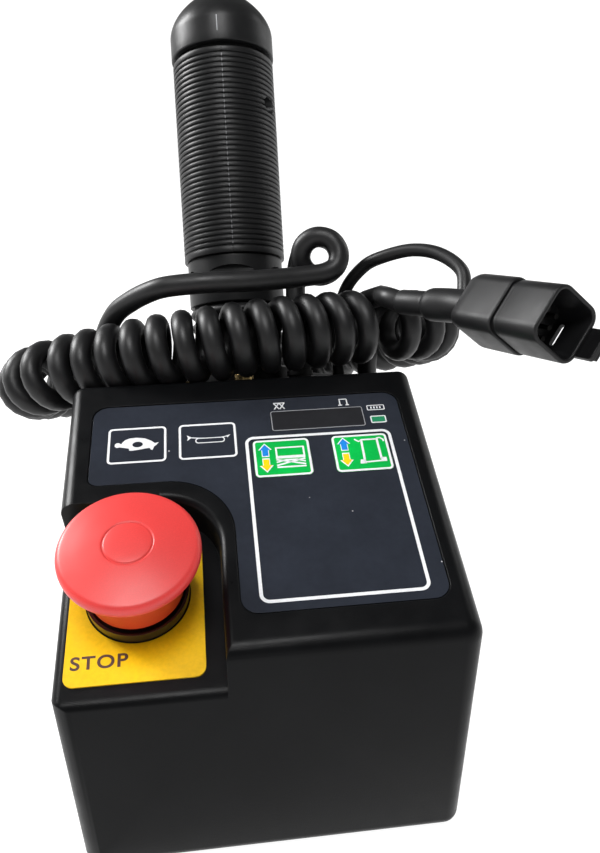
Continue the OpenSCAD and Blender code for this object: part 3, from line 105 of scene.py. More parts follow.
def look(name, colour, rough, *, metal=0.0, coat=0.0, level=0.5, grain=900, bump=0.12, vary=0.16,
         spread=0.06, edge=0.25, specks=0, speck_size=0.05, speck_colour=(0.5, 0.5, 0.52), worn=0.0):
    """Broad patches, a fine grain with relief, edges rounded by `edge` mm, and specks or rubbed edges."""
    mat = bpy.data.materials.new(name)
    mat.use_nodes = True
    tree = mat.node_tree
    n, links = tree.nodes, tree.links
    shader = n["Principled BSDF"]
    for key, value in (("Metallic", metal), ("Coat Weight", coat), ("Coat Roughness", COAT_ROUGH),
                       ("Specular IOR Level", level)):
        shader.inputs[key].default_value = value
    place = n.new("ShaderNodeTexCoord").outputs["Object"]

    def noise(scale, detail, rough_share=0.5):
        node = n.new("ShaderNodeTexNoise")
        node.inputs["Scale"].default_value = scale
        node.inputs["Detail"].default_value = detail
        node.inputs["Roughness"].default_value = rough_share
        links.new(place, node.inputs["Vector"])
        return node.outputs["Fac"]

    def mix(kind, fac, a, b):
        node = n.new("ShaderNodeMix")
        node.data_type = "RGBA"
        node.blend_type = kind
        for socket, value in ((node.inputs[0], fac), (node.inputs[6], a), (node.inputs[7], b)):
            if hasattr(value, "is_output"):
                links.new(value, socket)
            elif socket == node.inputs[0]:
                socket.default_value = value
            else:
                socket.default_value = (*value, 1)
        return node.outputs[2]

    dark = tuple(c * (1 - vary) for c in colour)
    light = tuple(min(c * (1 + vary), 1) for c in colour)
    shade = mix("MIX", map_range(tree, noise(PATCH, 4), 0.3, 0.7), dark, light)
    fine = noise(grain, 2, 0.6)
    pale = mix("MIX", map_range(tree, fine, 0.3, 0.7), (0.7, 0.7, 0.7), (1, 1, 1))
    shade = mix("MULTIPLY", GRAIN_SHARE, shade, pale)
    if specks:
        cells = n.new("ShaderNodeTexVoronoi")
        cells.inputs["Scale"].default_value = specks
        links.new(place, cells.inputs["Vector"])
        near = map_range(tree, cells.outputs["Distance"], speck_size, speck_size * 0.5)
        chosen = map_range(tree, cells.outputs["Color"], 0.62, 0.66)
        shade = mix("MIX", product(tree, near, chosen), shade, speck_colour)
    if edge:
        soft = n.new("ShaderNodeBevel")
        soft.samples = BEVEL_SAMPLES
        soft.inputs["Radius"].default_value = edge * MM
    if worn:
        geometry = n.new("ShaderNodeNewGeometry")
        turned = n.new("ShaderNodeVectorMath")
        turned.operation = "DOT_PRODUCT"
        links.new(soft.outputs["Normal"], turned.inputs[0])
        links.new(geometry.outputs["True Normal"], turned.inputs[1])
        rubbed = map_range(tree, turned.outputs["Value"], 0.985, 0.8, 0, worn)
        shade = mix("MIX", rubbed, shade, tuple(min(1, c * 2.5 + 0.03) for c in colour))
    links.new(shade, shader.inputs["Base Color"])
    uneven = map_range(tree, noise(PATCH * 3, 5), 0.25, 0.75, rough - spread, rough + spread)
    links.new(uneven, shader.inputs["Roughness"])
    relief = n.new("ShaderNodeBump")
    relief.inputs["Strength"].default_value = bump
    relief.inputs["Distance"].default_value = RELIEF_M
    links.new(fine, relief.inputs["Height"])
    if edge:
        links.new(soft.outputs["Normal"], relief.inputs["Normal"])
    links.new(relief.outputs["Normal"], shader.inputs["Normal"])
    return mat


SHELL = look("moulded_shell", (0.0034, 0.0036, 0.0041), 0.33, grain=2600, bump=0.4, worn=0.3, edge=0.5,
             level=0.11)
SHELL_INNER = look("moulded_plate", (0.008, 0.008, 0.009), 0.5, grain=1800, bump=0.3, edge=0.3, level=0.2)
FILM = look("film", (0.019, 0.0228, 0.0325), 0.2, coat=0.06, grain=500, bump=0.03, spread=0.04, specks=150,
            edge=0.12, level=0.3)
KEY_GREEN = look("green_print", (0.0, 0.43, 0.062), 0.32, bump=0.03, spread=0.04, edge=0.12, level=0.2)
WHITE = look("white_print", (0.80, 0.81, 0.83), 0.3, grain=1500, bump=0.05, vary=0.05, edge=0)
BLUE = look("blue_print", (0.005, 0.22, 0.68), 0.3, grain=1500, bump=0.05, vary=0.06, edge=0)
YELLOW = look("yellow_print", (0.90, 0.62, 0.0), 0.3, grain=1500, bump=0.05, vary=0.06, edge=0)
SMOKE = look("smoked_window", (0.016, 0.0165, 0.019), 0.2, coat=0.06, grain=400, bump=0.03, specks=180,
             speck_size=0.04, edge=0.12, level=0.3)
LAMP = look("lamp_window", (0.01, 0.24, 0.10), 0.2, coat=0.5, bump=0.04, edge=0.1)
GREY_LINE = look("grey_print", (0.30, 0.31, 0.33), 0.35, grain=1500, bump=0.05, vary=0.05, edge=0)
PLATE = look("yellow_plate", (0.92, 0.56, 0.003), 0.36, grain=800, bump=0.05, vary=0.03, edge=0.15, level=0.3)
INK = look("dark_print", (0.055, 0.018, 0.008), 0.5, grain=1500, bump=0.1, vary=0.1, edge=0)
# The neck is the head's red; its darker orange is painted shade under the rim and painted bounce light from
# the yellow plate
NECK_PAINTED_LIGHT = look("red_neck_painted_bounce_and_shade", (0.60, 0.045, 0.012), 0.42, grain=3000, bump=0.10, vary=0.05, edge=0.2)
RED = look("red_head", (0.72, 0.045, 0.042), 0.40, grain=3000, bump=0.10, vary=0.04, spread=0.04, edge=0.2)
GLOSS = look("gloss_black", (0.008, 0.008, 0.007), 0.14, coat=0.4, grain=800, bump=0.03, spread=0.05,
             edge=0.15)
GRIP = look("grip_moulding", (0.006, 0.0062, 0.0066), 0.40, grain=2600, bump=0.22, worn=0.3, edge=0.2,
            level=0.25)
# Light grey seam dashes: a painted highlight on the grip's seam, not the moulding's own colour
SEAM_HIGHLIGHT = look("seam_painted_highlight", (0.10, 0.10, 0.11), 0.4, grain=1500, bump=0.1, edge=0)
JACKET = look("cord_jacket", (0.0045, 0.0045, 0.005), 0.46, level=0.4, grain=1400, bump=0.16, spread=0.08,
              edge=0, specks=420, speck_size=0.035, speck_colour=(0.12, 0.12, 0.12))
RUBBER = look("rubber", (0.006, 0.006, 0.0066), 0.5, grain=1500, bump=0.25, edge=0.2, level=0.3)
PLUGGED = look("grained_plastic", (0.006, 0.006, 0.0066), 0.42, grain=3200, bump=0.5, worn=0.3, edge=0.3,
               level=0.28)
STEEL = look("zinc_steel", (0.52, 0.53, 0.54), 0.32, metal=1, grain=1600, edge=0.15)
BRASS = look("brass", (0.78, 0.57, 0.26), 0.26, metal=1, grain=1400, edge=0.15, vary=0.12)
# Near black contacts: painted shade inside the connector's mouth, not the plated pins' own colour
CONTACT_SHADE = look("contact_painted_shade", (0.022, 0.021, 0.02), 0.45, metal=0.6, grain=1400, edge=0.15)
BOARD = look("solder_mask", (0.012, 0.12, 0.045), 0.3, coat=0.3, grain=1200, bump=0.2, edge=0.15)
PARTS = look("component", (0.025, 0.027, 0.03), 0.45, grain=1500, bump=0.2, edge=0.15)
SENSOR = look("sensor_body", (0.02, 0.06, 0.16), 0.4, grain=1200, bump=0.2, edge=0.15)

CAD_LOOKS = {
    SHELL_INNER: ("base_plate",),
    RUBBER: ("base_gasket", "stop_seal", "connector_seal", "cord_gland", "aux_grommet"),
    FILM: ("panel_overlay", "slow_key", "horn_key"), KEY_GREEN: ("lift_key", "drive_key"),
    SMOKE: ("display_window",), LAMP: ("status_window",), PLATE: ("stop_label",), GLOSS: ("stop_collar",),
    PARTS: ("display_module", "buzzer", "key_switches", "cap_switch", "stop_contact_block"),
    SENSOR: ("position_sensor",), BOARD: ("circuit_board",), BRASS: ("base_inserts", "stick_base_screws"),
    CONTACT_SHADE: ("connector_contacts",), GRIP: ("stick_shaft",), NECK_PAINTED_LIGHT: ("stop_plunger",),
    STEEL: ("base_screws", "board_screws", "stop_nut", "stick_yoke", "pivot_pin", "centring_spring",
            "cap_pin", "gland_nut", "grip_screw"),
}
for material, names in CAD_LOOKS.items():
    for name in names:
        for slot in nodes[name].material_slots:
            slot.material = material


# Mesh makers. Each gives (points, faces) in millimetres
def lathe(profile, sides=128, start=0.0, sweep=360.0):
    """Turns (radius, height) points about Z, all the way round or as a closed segment."""
    whole = sweep >= 360
    steps = sides if whole else max(3, round(sides * sweep / 360)) + 1
    points, faces, rows = [], [], []
    for r, z in profile:
        if r < 1e-6 and whole:
            rows.append([len(points)] * steps)
            points.append((0, 0, z))
            continue
        rows.append(list(range(len(points), len(points) + steps)))
        for k in range(steps):
            a = math.radians(start + sweep * k / (steps if whole else steps - 1))
            points.append((r * math.cos(a), r * math.sin(a), z))
    turns = steps if whole else steps - 1
    pairs = list(zip(rows, rows[1:])) + ([] if whole else [(rows[-1], rows[0])])
    for a, b in pairs:
        for k in range(turns):
            m = (k + 1) % steps
            face = list(dict.fromkeys((a[k], a[m], b[m], b[k])))
            if len(face) > 2:
                faces.append(face)
    if not whole:
        faces.append([row[0] for row in rows])
        faces.append([row[-1] for row in rows][::-1])
    return points, faces


def arc(cx, cy, r, a0, a1, n):
    return [(cx + r * math.cos(math.radians(a0 + (a1 - a0) * i / n)),
             cy + r * math.sin(math.radians(a0 + (a1 - a0) * i / n))) for i in range(n + 1)]


def round_box(w, h, r, n=8, at=(0, 0)):
    x, y = w / 2 - r, h / 2 - r
    out = []
    for sx, sy, a in ((1, 1, 0), (-1, 1, 90), (-1, -1, 180), (1, -1, 270)):
        out += arc(at[0] + sx * x, at[1] + sy * y, r, a, a + 90, n)
    return out


def slab(outline, z0, z1):
    n = len(outline)
    points = [(x, y, z) for z in (z0, z1) for x, y in outline]
    faces = [list(range(n))[::-1], list(range(n, 2 * n))]
    faces += [[k, (k + 1) % n, n + (k + 1) % n, n + k] for k in range(n)]
    return points, faces


def band(outer, inner, z0, z1):
    n = len(outer)
    points = [(x, y, z) for z in (z0, z1) for ring in (outer, inner) for x, y in ring]
    faces = []
    for k in range(n):
        m = (k + 1) % n
        faces += [[k, m, 2 * n + m, 2 * n + k], [n + m, n + k, 3 * n + k, 3 * n + m],
                  [2 * n + k, 2 * n + m, 3 * n + m, 3 * n + k], [m, k, n + k, n + m]]
    return points, faces


def stroke(path, width, z0, z1):
    """A flat line of even width along a list of 2D points."""
    left, right = [], []
    for i, p in enumerate(path):
        a, b = path[max(i - 1, 0)], path[min(i + 1, len(path) - 1)]
        d = Vector((b[0] - a[0], b[1] - a[1])).normalized() * (width / 2)
        left.append((p[0] - d.y, p[1] + d.x))
        right.append((p[0] + d.y, p[1] - d.x))
    return slab((left + right[::-1])[::-1], z0, z1)


def joined(*parts):
    points, faces = [], []
    for p, f in parts:
        base = len(points)
        points += p
        faces += [[base + i for i in face] for face in f]
    return points, faces


def loft(sections):
    """Skins equal rings of 3D points and closes both ends."""
    n = len(sections[0])
    points = [p for ring in sections for p in ring]
    faces = [[s * n + k, s * n + (k + 1) % n, (s + 1) * n + (k + 1) % n, (s + 1) * n + k]
             for s in range(len(sections) - 1) for k in range(n)]
    faces += [list(range(n))[::-1], list(range((len(sections) - 1) * n, len(sections) * n))]
    return points, faces


def raw(name, data, at):
    mesh = bpy.data.meshes.new(name)
    mesh.from_pydata([tuple((at @ Vector(p)) * MM) for p in data[0]], [], data[1])
    bm = bmesh.new()
    bm.from_mesh(mesh)
    bmesh.ops.remove_doubles(bm, verts=bm.verts, dist=1e-7)
    bmesh.ops.recalc_face_normals(bm, faces=bm.faces)
    bm.to_mesh(mesh)
    bm.free()
    obj = bpy.data.objects.new(name, mesh)
    scene.collection.objects.link(obj)
    return obj


def finished(obj, body, material, stands_for=(), bevel=0.0, sharp=32):
    mesh = obj.data
    mesh.materials.clear()
    mesh.materials.append(material)
    mesh.polygons.foreach_set("use_smooth", [True] * len(mesh.polygons))
    mesh.set_sharp_from_angle(angle=math.radians(sharp))
    if bevel:
        mod = obj.modifiers.new("edge", "BEVEL")
        mod.width = bevel * MM
        mod.segments = 3
        mod.limit_method = "ANGLE"
        mod.angle_limit = math.radians(sharp)
        mod.harden_normals = True
    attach(obj, body)
    if stands_for:
        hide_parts(*stands_for)
    return obj


def piece(name, data, at, body, material, stands_for=(), bevel=0.0, sharp=32):
    return finished(raw(name, data, at), body, material, stands_for, bevel, sharp)


def evaluated(obj):
    depsgraph = bpy.context.evaluated_depsgraph_get()
    return bpy.data.meshes.new_from_object(obj.evaluated_get(depsgraph))


def cut_by(obj, *cutters):
    for cutter in cutters:
        mod = obj.modifiers.new("cut", "BOOLEAN")
        mod.operation = "DIFFERENCE"
        mod.solver = "EXACT"
        mod.object = cutter
    mesh = evaluated(obj)
    obj.modifiers.clear()
    obj.data = mesh
    for cutter in cutters:
        bpy.data.objects.remove(cutter)
    return obj


# The curly cord's route, as part.scad has it in the ridge's axes
CORD_D, CURL_R, CURL_TURNS = 7.8, 10.3, 40.25
RING_AT, HALF_W, HALF_D, END_R = (-1, 52.3), 83, 49, 38
RING_START, RING_STOP, RING_H = -64.8, 292.1, 13.2
RING_RISE, RING_BEND, FALL_FROM, FALL_RUN, FALL = 0.09, 3333, 80, 21.3, 14
END_PITCH, REAR_PITCH, FRONT_PITCH = 11.8, 10.4, 9.1
TURN_STEPS = 20
LEAD = [
    (23.5, 26.5, 11.2), (23.5, 26.5, 18), (23.5, 26.5, 28), (24, 26.3, 38), (25.6, 25.6, 46),
    (28.6, 23.2, 52.2), (33.5, 20.8, 53.8), (38.5, 19.5, 51.4), (40.6, 19.2, 46.2), (38.6, 19.4, 40.9),
    (33.5, 19.5, 38.4), (28.2, 18.7, 40), (25.4, 17, 44.6), (26.7, 14.6, 49.5), (31.2, 12.3, 51.9),
    (36.4, 10.7, 50.3), (39.2, 10, 45.4), (38, 9.6, 40.1), (33.4, 9, 37.4), (26.4, 8, 36.4),
    (18.9, 6.6, 35.6), (4.1, 3.1, 34.4), (-9.8, 1.6, 34.2), (-23.8, 3.1, 33.8), (-31, 6, 32.9),
    (-39.5, 13, 30.6), (-47, 20.5, 26.6), (-53, 31, 17.5), (-54, 42, 9), (-48, 55, 2), (-36, 67, -1),
    (-20, 74, 3), (0, 76, 7), (18, 74, 4), (34, 66, 0), (46, 54, -2), (52.5, 41, -2.5)]
AUX = [(40, 33, -4), (40, 33, 8), (40.5, 31.5, 22), (44, 26, 34), (50, 20, 41), (56, 14, 43.4),
       (66.5, 6, 44.2), (75, -2, 40.5), (80.5, -9.5, 32.5)]
AUX_D, AUX_SLEEVE_L = 5, 12
# Where the sleeve and the second lead enter the connector's rear face: across it and up it
SLEEVE_IN, AUX_IN = (-1.4, -0.2), (4.2, 6.2)
SLEEVE_START, TAIL_BEND = Vector((58.8, -3.7, 23.3)), (55.5, 0, 25.5)
ring_c, ring_q = HALF_W - END_R, HALF_D - END_R
ring_k = (ring_c ** 2 - ring_q ** 2) / (2 * ring_q)
long_r = HALF_D + ring_k
split = math.degrees(math.atan2(ring_k, ring_c))
ARCS = [(RING_START, long_r / FRONT_PITCH), (-split, END_R / END_PITCH), (split, long_r / REAR_PITCH),
        (180 - split, END_R / END_PITCH), (180 + split, long_r / FRONT_PITCH), (RING_STOP, 0)]
before = [0.0]
for (a0, per), (a1, _) in zip(ARCS, ARCS[1:]):
    before.append(before[-1] + math.radians(a1 - a0) * per)
before = [b * CURL_TURNS / before[-1] for b in before]


def ring_angle(turn):
    for i in range(len(ARCS) - 1):
        if turn <= before[i + 1] or i == len(ARCS) - 2:
            t = (turn - before[i]) / (before[i + 1] - before[i])
            return math.radians(ARCS[i][0] + min(max(t, 0), 1) * (ARCS[i + 1][0] - ARCS[i][0]))


def ring_point(a):
    c, s = math.cos(a), math.sin(a)
    if abs(c) > math.cos(math.radians(split)):
        x, y = math.copysign(ring_c, c) + END_R * c, END_R * s
    else:
        x, y = long_r * c, long_r * s - math.copysign(ring_k, s)
    x, y = x + RING_AT[0], y + RING_AT[1]
    fall = FALL * (max(y - FALL_FROM, 0) / FALL_RUN) ** 4
    return Vector((x, y, RING_H + RING_RISE * x - x * x / RING_BEND - fall))


def curl_point(turn):
    a = ring_angle(turn)
    w = math.radians(360 * turn - 90)
    outward = Vector((math.cos(a), math.sin(a), 0))
    return ring_point(a) + CURL_R * (math.cos(w) * Vector((0, 0, 1)) + math.sin(w) * outward)


def smooth(path, steps):
    path = [Vector(p) for p in path]
    out = []
    for i in range(len(path) - 1):
        a, b, c, d = path[max(i - 1, 0)], path[i], path[i + 1], path[min(i + 2, len(path) - 1)]
        for s in range(steps):
            t = s / steps
            square, cube = (2 * a - 5 * b + 4 * c - d) * t ** 2, (3 * b - a - 3 * c + d) * t ** 3
            out.append((2 * b + (c - a) * t + square + cube) / 2)
    return out + [path[-1]]


turn_points = [curl_point(i / TURN_STEPS) for i in range(round(CURL_TURNS * TURN_STEPS) + 1)]
dir_0 = (curl_point(0.01) - curl_point(0)).normalized()
dir_1 = (curl_point(CURL_TURNS) - curl_point(CURL_TURNS - 0.01)).normalized()
coil_start, coil_end = turn_points[0] - dir_0 * CORD_D, turn_points[-1] + dir_1 * CORD_D
plug_turn = placed(WORLD, turn=PLUG_TURN).to_3x3()
plug_dir = plug_turn @ Vector((1, 0, 0))
SLEEVE_END = Vector(PLUG_AT) + plug_turn @ Vector((0, *SLEEVE_IN))
SLEEVE_L = (SLEEVE_END - SLEEVE_START).length
sleeve_dir = (SLEEVE_END - SLEEVE_START).normalized()
lead_path = smooth([*LEAD, coil_start - dir_0 * 8], 6) + [coil_start]
tail_path = smooth([coil_end, TAIL_BEND, SLEEVE_START - sleeve_dir * 0.5, SLEEVE_START], 6)
cord_path = lead_path[:-1] + [coil_start.lerp(turn_points[0], k / 3) for k in range(3)] + turn_points
cord_path += [turn_points[-1].lerp(coil_end, k / 3) for k in (1, 2)] + tail_path
aux_start = Vector(PLUG_AT) + plug_turn @ Vector((-AUX_SLEEVE_L, *AUX_IN))
aux_path = smooth([*AUX, aux_start - plug_dir * AUX_D, aux_start], 8)


def cord_curve(name, path, diameter, stands_for):
    data = bpy.data.curves.new(name, "CURVE")
    data.dimensions = "3D"
    data.bevel_depth = diameter / 2 * MM
    data.bevel_resolution = 5
    data.use_fill_caps = True
    data.twist_mode = "MINIMUM"
    spline = data.splines.new("POLY")
    spline.points.add(len(path) - 1)
    for point, p in zip(spline.points, path):
        point.co = (*((RIDGE @ p) * MM), 1)
    data.materials.append(JACKET)
    obj = bpy.data.objects.new(name, data)
    scene.collection.objects.link(obj)
    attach(obj, "root")
    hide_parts(*stands_for)
    return obj


curly_cord = cord_curve("curly_cord", cord_path, CORD_D, ("cord_lead", "cord_coil", "cord_tail"))
second_lead = cord_curve("second_lead", aux_path, AUX_D, ("aux_lead",))


# Tapered sleeves: rings square to a path
def sleeve(name, stations, at, sides, stands_for):
    """stations: (centre, direction, radius)."""
    up = Vector((0, 0, 1))
    sections = []
    for c, d, r in stations:
        d = d.normalized()
        side = d.cross(up).normalized()
        top = side.cross(d)
        sections.append([c + r * (math.cos(a) * side + math.sin(a) * top)
                         for a in (2 * math.pi * k / sides for k in range(sides))])
    return piece(name, loft(sections), at, "root", RUBBER, stands_for, sharp=40)


BOOT_BEND_FROM = 0.4
stations = []
for share, r in ((0, 4.0), (0.012, 4.35), (0.035, 4.5), (0.35, 4.55), (0.375, 4.4), (0.39, 4.6), (0.42, 5.4),
                 (0.46, 5.8), (0.52, 5.9), (0.62, 5.9), (0.7, 5.85), (0.8, 5.75), (0.9, 5.6), (0.985, 5.5),
                 (1, 5.2)):
    t = max(0.0, (share - BOOT_BEND_FROM) / (1 - BOOT_BEND_FROM))
    straight = SLEEVE_START + sleeve_dir * SLEEVE_L * share
    aimed = SLEEVE_END - plug_dir * SLEEVE_L * (1 - share)
    bend = t * t * (3 - 2 * t)
    stations.append((straight.lerp(aimed, bend), sleeve_dir.lerp(plug_dir, bend), r))
cord_boot = sleeve("cord_boot", stations, RIDGE, 48, ("cord_sleeve",))
aux_boot = sleeve("lead_boot", [(Vector((-AUX_SLEEVE_L * (1 - s), *AUX_IN)), Vector((1, 0, 0)), r)
                                for s, r in ((0, 2.5), (0.03, 2.62), (0.3, 2.7), (0.55, 2.76), (1, 2.8))],
                  PLUG, 32, ("aux_sleeve",))


# Connector, in its own axes with the mouth towards +X
def square_ring(x, w, r, n=8):
    return [(x, y, z) for y, z in round_box(w, w, r, n)]


backshell = [square_ring(x, w, r) for x, w, r in (
    (0, 16.6, 3.1), (0.15, 17.5, 3.4), (0.7, 18.2, 3.7), (1.6, 18.8, 3.9), (3.0, 19.7, 4.3),
    (4.2, 20.1, 4.45), (6.0, 20.2, 4.5), (20.4, 20.2, 4.5), (21.1, 20.05, 4.4), (21.5, 19.5, 4.1))]
backshell = piece("plug_backshell", loft(backshell), PLUG, "root", PLUGGED,
                  ("connector_backshell",), sharp=50)
SHELL_X, SHELL_L, SHELL_W, MOUTH, WALL_T = 23, 18, 19.2, 14, 1.4
BORE_W, SHELL_END = SHELL_W - 2 * WALL_T, SHELL_X + SHELL_L
outer = [(0, SHELL_W - 0.6, 4.2), (0.25, SHELL_W - 0.15, 4.4), (0.7, SHELL_W, 4.5),
         (SHELL_L - 0.5, SHELL_W, 4.5), (SHELL_L - 0.15, SHELL_W - 0.2, 4.4), (SHELL_L, SHELL_W - 0.6, 4.2)]
inner = [(SHELL_L, BORE_W + 0.6, 3.4), (SHELL_L - 0.2, BORE_W + 0.15, 3.2), (SHELL_L - 0.6, BORE_W, 3.1),
         (SHELL_L - MOUTH + 0.4, BORE_W, 3.1), (SHELL_L - MOUTH, BORE_W - 0.6, 2.8)]
front_shell = raw("plug_shell", loft([square_ring(SHELL_X + x, w, r) for x, w, r in outer + inner]), PLUG)
SLOT_BACK, SLOT_W, SLOT_LEN, SLOT_Z = 10.5, 2, 7.5, (-14, -6)
slot_cut = raw("slot_cutter", slab(round_box(SLOT_W, SLOT_LEN, 0.9, 6, (SHELL_END - SLOT_BACK, 0)), *SLOT_Z),
               PLUG @ placed(WORLD, turn=(90, 0, 0)))
TONGUE_L, TONGUE_W, TONGUE_Y = 11.5, 10, (9.65, 11.6)
HOOK_OUT, HOOK_T, HOOK_HALF, HOOK_Y = 5.5, 2.2, 4.2, (11.5, 12.6)
bar = loft([[(x, y, z) for x, z in round_box(TONGUE_L, TONGUE_W, 1.2, 5, (SHELL_END - 0.25, 0))]
            for y in TONGUE_Y])
hook = loft([[(SHELL_END + HOOK_OUT - d, y, z) for d, z in
              ((0, -HOOK_HALF), (0, HOOK_HALF), (HOOK_T, HOOK_HALF), (HOOK_T, -HOOK_HALF))] for y in HOOK_Y])
tongue = piece("plug_tongue", joined(bar, hook), PLUG, "root", PLUGGED,
               ("connector_latch",), bevel=0.35, sharp=40)
front_shell = finished(cut_by(front_shell, slot_cut), "root", PLUGGED,
                       ("connector_shell",), sharp=50)


# Housing: a copy of the CAD shell with its flat faces merged, so that smooth shading holds
def copied(name, node):
    mesh = nodes[node].data.copy()
    obj = bpy.data.objects.new(name, mesh)
    scene.collection.objects.link(obj)
    bm = bmesh.new()
    bm.from_mesh(mesh)
    bmesh.ops.remove_doubles(bm, verts=bm.verts, dist=2e-6)
    bmesh.ops.dissolve_degenerate(bm, edges=bm.edges, dist=2e-6)
    bmesh.ops.dissolve_limit(bm, angle_limit=math.radians(0.3), verts=bm.verts, edges=bm.edges)
    bm.to_mesh(mesh)
    bm.free()
    if mesh.has_custom_normals:
        mesh.attributes.remove(mesh.attributes["custom_normal"])
    return obj


finished(copied("moulded_housing", "housing"), "root", SHELL, ("housing",), sharp=28)

# Printed marks on the film and the keys, in the panel's axes
TOP = -0.2
INK_Z, RISE, MARK_Z = (TOP - 0.02, TOP + 0.03), (TOP - 0.02, TOP + 0.02), (TOP - 0.02, TOP + 0.05)
FIELD = (-1.7, 14.5, 49.5, 63.8)
FIELD_AT = (FIELD[0] + FIELD[2] / 2, FIELD[1] + FIELD[3] / 2)
SLOW, HORN, LIFT, DRIVE = (-37.2, 77.9), (-14, 77.9), (10.1, 68.4), (36.6, 68.4)
DISPLAY, BATTERY, STATUS = (24, 85.1), (44.9, 88.8), (44.9, 83.1)
LIFT_SIGN, DRIVE_SIGN = (11.4, 92.1), (33.9, 92.3)


def outline_band(w, h, r, line, at, n=10):
    inside = round_box(w - 2 * line, h - 2 * line, max(r - line, 0.1), n, at)
    return band(round_box(w, h, r, n, at), inside, *INK_Z)


def moved(points, at):
    return [(x + at[0], y + at[1]) for x, y in points]


def lines(at, paths, width):
    return [stroke(moved(path, at), width, *INK_Z) for path in paths]


def printed(name, data, body, material=WHITE):
    piece(name, data, PANEL, body, material)


printed("field_line", outline_band(FIELD[2], FIELD[3], 3, 1.05, FIELD_AT), "root")
for label, at, w, h, slot in (
        ("slow", SLOW, 19.1, 15.7, "overlay_film"), ("horn", HORN, 19.1, 15.7, "overlay_film"),
        ("lift", LIFT, 18.7, 15.9, "key_green"), ("drive", DRIVE, 18.7, 15.9, "key_green")):
    printed(f"{label}_line", outline_band(w, h, 1.6, 0.75, at), f"{label}_key")

# Slow speed: a tortoise with a ring for its shell
TORTOISE = [(-7.3, -0.1), (-7.2, 0.8), (-6.7, 1.3), (-6.0, 1.3), (-5.2, 0.7), (-4.7, 1.6), (-4.0, 2.4),
            (-2.6, 3.1), (-0.2, 3.3), (2.4, 2.8), (4.5, 1.6), (5.8, 0.4), (7.1, 0.7), (6.3, -0.4),
            (5.5, -1.2), (5.1, -2.6), (4.5, -2.4), (4.1, -1.6), (2.5, -1.8), (0.5, -2.2), (-1.6, -2.4),
            (-2.5, -2.3), (-2.7, -1.4), (-4.1, -1.0), (-5.6, -0.6), (-6.7, -0.8)]
RING_HOLE, HOLE_RX, HOLE_RY = (0.15, 0.2), 1.7, 1.25
tortoise = raw("slow_mark", slab(moved(TORTOISE[::-1], SLOW), *INK_Z), PANEL)
hole = moved([(HOLE_RX * x, HOLE_RY * y) for x, y in arc(0, 0, 1, 0, 360, 40)[:-1]], RING_HOLE)
hole = raw("hole_cutter", slab(moved(hole, SLOW), TOP - 1, TOP + 1), PANEL)
finished(cut_by(tortoise, hole), "slow_key", WHITE)
# Horn: a bugle drawn in one line with its two flared ends
tube_at = (HORN[0] + 0.8, HORN[1] + 0.2)
printed("horn_mark", joined(
    band(round_box(9.8, 2.4, 1.1, 8, tube_at), round_box(9.1, 1.7, 0.8, 8, tube_at), *INK_Z),
    *lines(HORN, [[(-5.6, 1.75), (-3.6, 1.45), (-1, 1.25)]], 0.38),
    *lines(HORN, [[(4.6, 1.25), (6.0, 1.5), (6.8, 1.8)]], 0.34),
    slab(moved([(-5.5, 1.95), (-6.9, 2.9), (-6.5, 1.8), (-6.8, 0.4), (-5.5, 1.55)], HORN), *INK_Z),
    slab(moved([(6.2, 1.75), (7.6, 2.3), (6.6, 0.9)], HORN), *INK_Z)), "horn_key")

# Green keys: an up and a down arrow and a line drawing of the machine
UP = [(0, 2.8), (-1.85, 0.35), (-1.0, 0.35), (-1.0, -2.3), (1.0, -2.3), (1.0, 0.35), (1.85, 0.35)]
DOWN = [(x, -y) for x, y in UP][::-1]


def grown(points, by):
    cx, cy = sum(p[0] for p in points) / len(points), sum(p[1] for p in points) / len(points)
    w = max(p[0] for p in points) - cx
    h = max(p[1] for p in points) - cy
    return [(cx + (x - cx) * (w + by) / w, cy + (y - cy) * (h + by * 1.1) / h) for x, y in points]


for label, key, ax, up_y, low_y in (("lift", LIFT, -5.5, 3.25, -2.75), ("drive", DRIVE, -5.55, 3.75, -2.55)):
    for mark, shape, y, material in (("up", UP, up_y, BLUE), ("down", DOWN, low_y, YELLOW)):
        spot = (key[0] + ax, key[1] + y)
        for part, by, heights, colour in (("edge", 0.42, RISE, WHITE), ("arrow", -0.05, MARK_Z, material)):
            printed(f"{label}_{mark}_{part}", slab(moved(grown(shape, by), spot), *heights), f"{label}_key",
                    colour)

printed("lift_mark", joined(
    outline_band(9.7, 4.5, 0.2, 0.6, (LIFT[0] + 2.7, LIFT[1] + 2.3)),
    *lines(LIFT, [[(-2.2, -0.2), (7.5, -0.2)], [(-2.1, -0.9), (2.6, -2.1), (7.4, -3.4)],
                  [(-2.1, -3.4), (2.6, -2.1), (7.4, -0.9)],
                  [(-2.1, -2.1), (1.0, -1.2), (4.6, -1.2), (7.4, -2.2)], [(-2.1, -4.2), (7.4, -4.2)]], 0.62)),
        "lift_key")
printed("drive_mark", joined(
    *lines(DRIVE, [[(0.6, 5.7), (0.35, -3.9)], [(5.9, 5.7), (6.0, -3.3)]], 0.75),
    *lines(DRIVE, [[(0.5, 5.55), (6.0, 5.55)], [(0.2, -4.4), (6.0, -4.15)],
                   [(5.8, 5.9), (7.0, 6.1), (8.0, 5.2), (8.0, 4.3)],
                   [(0.6, 5.2), (-0.5, 4.9), (-1.7, 6.0)]], 0.6),
    slab(moved([(-1.3, -4.9), (0.7, -4.9), (0.7, -3.2), (-1.0, -3.2)], DRIVE), *INK_Z),
    slab(moved([(5.7, -4.5), (7.7, -4.5), (7.7, -2.7), (5.9, -2.7)], DRIVE), *INK_Z)),
        "drive_key")

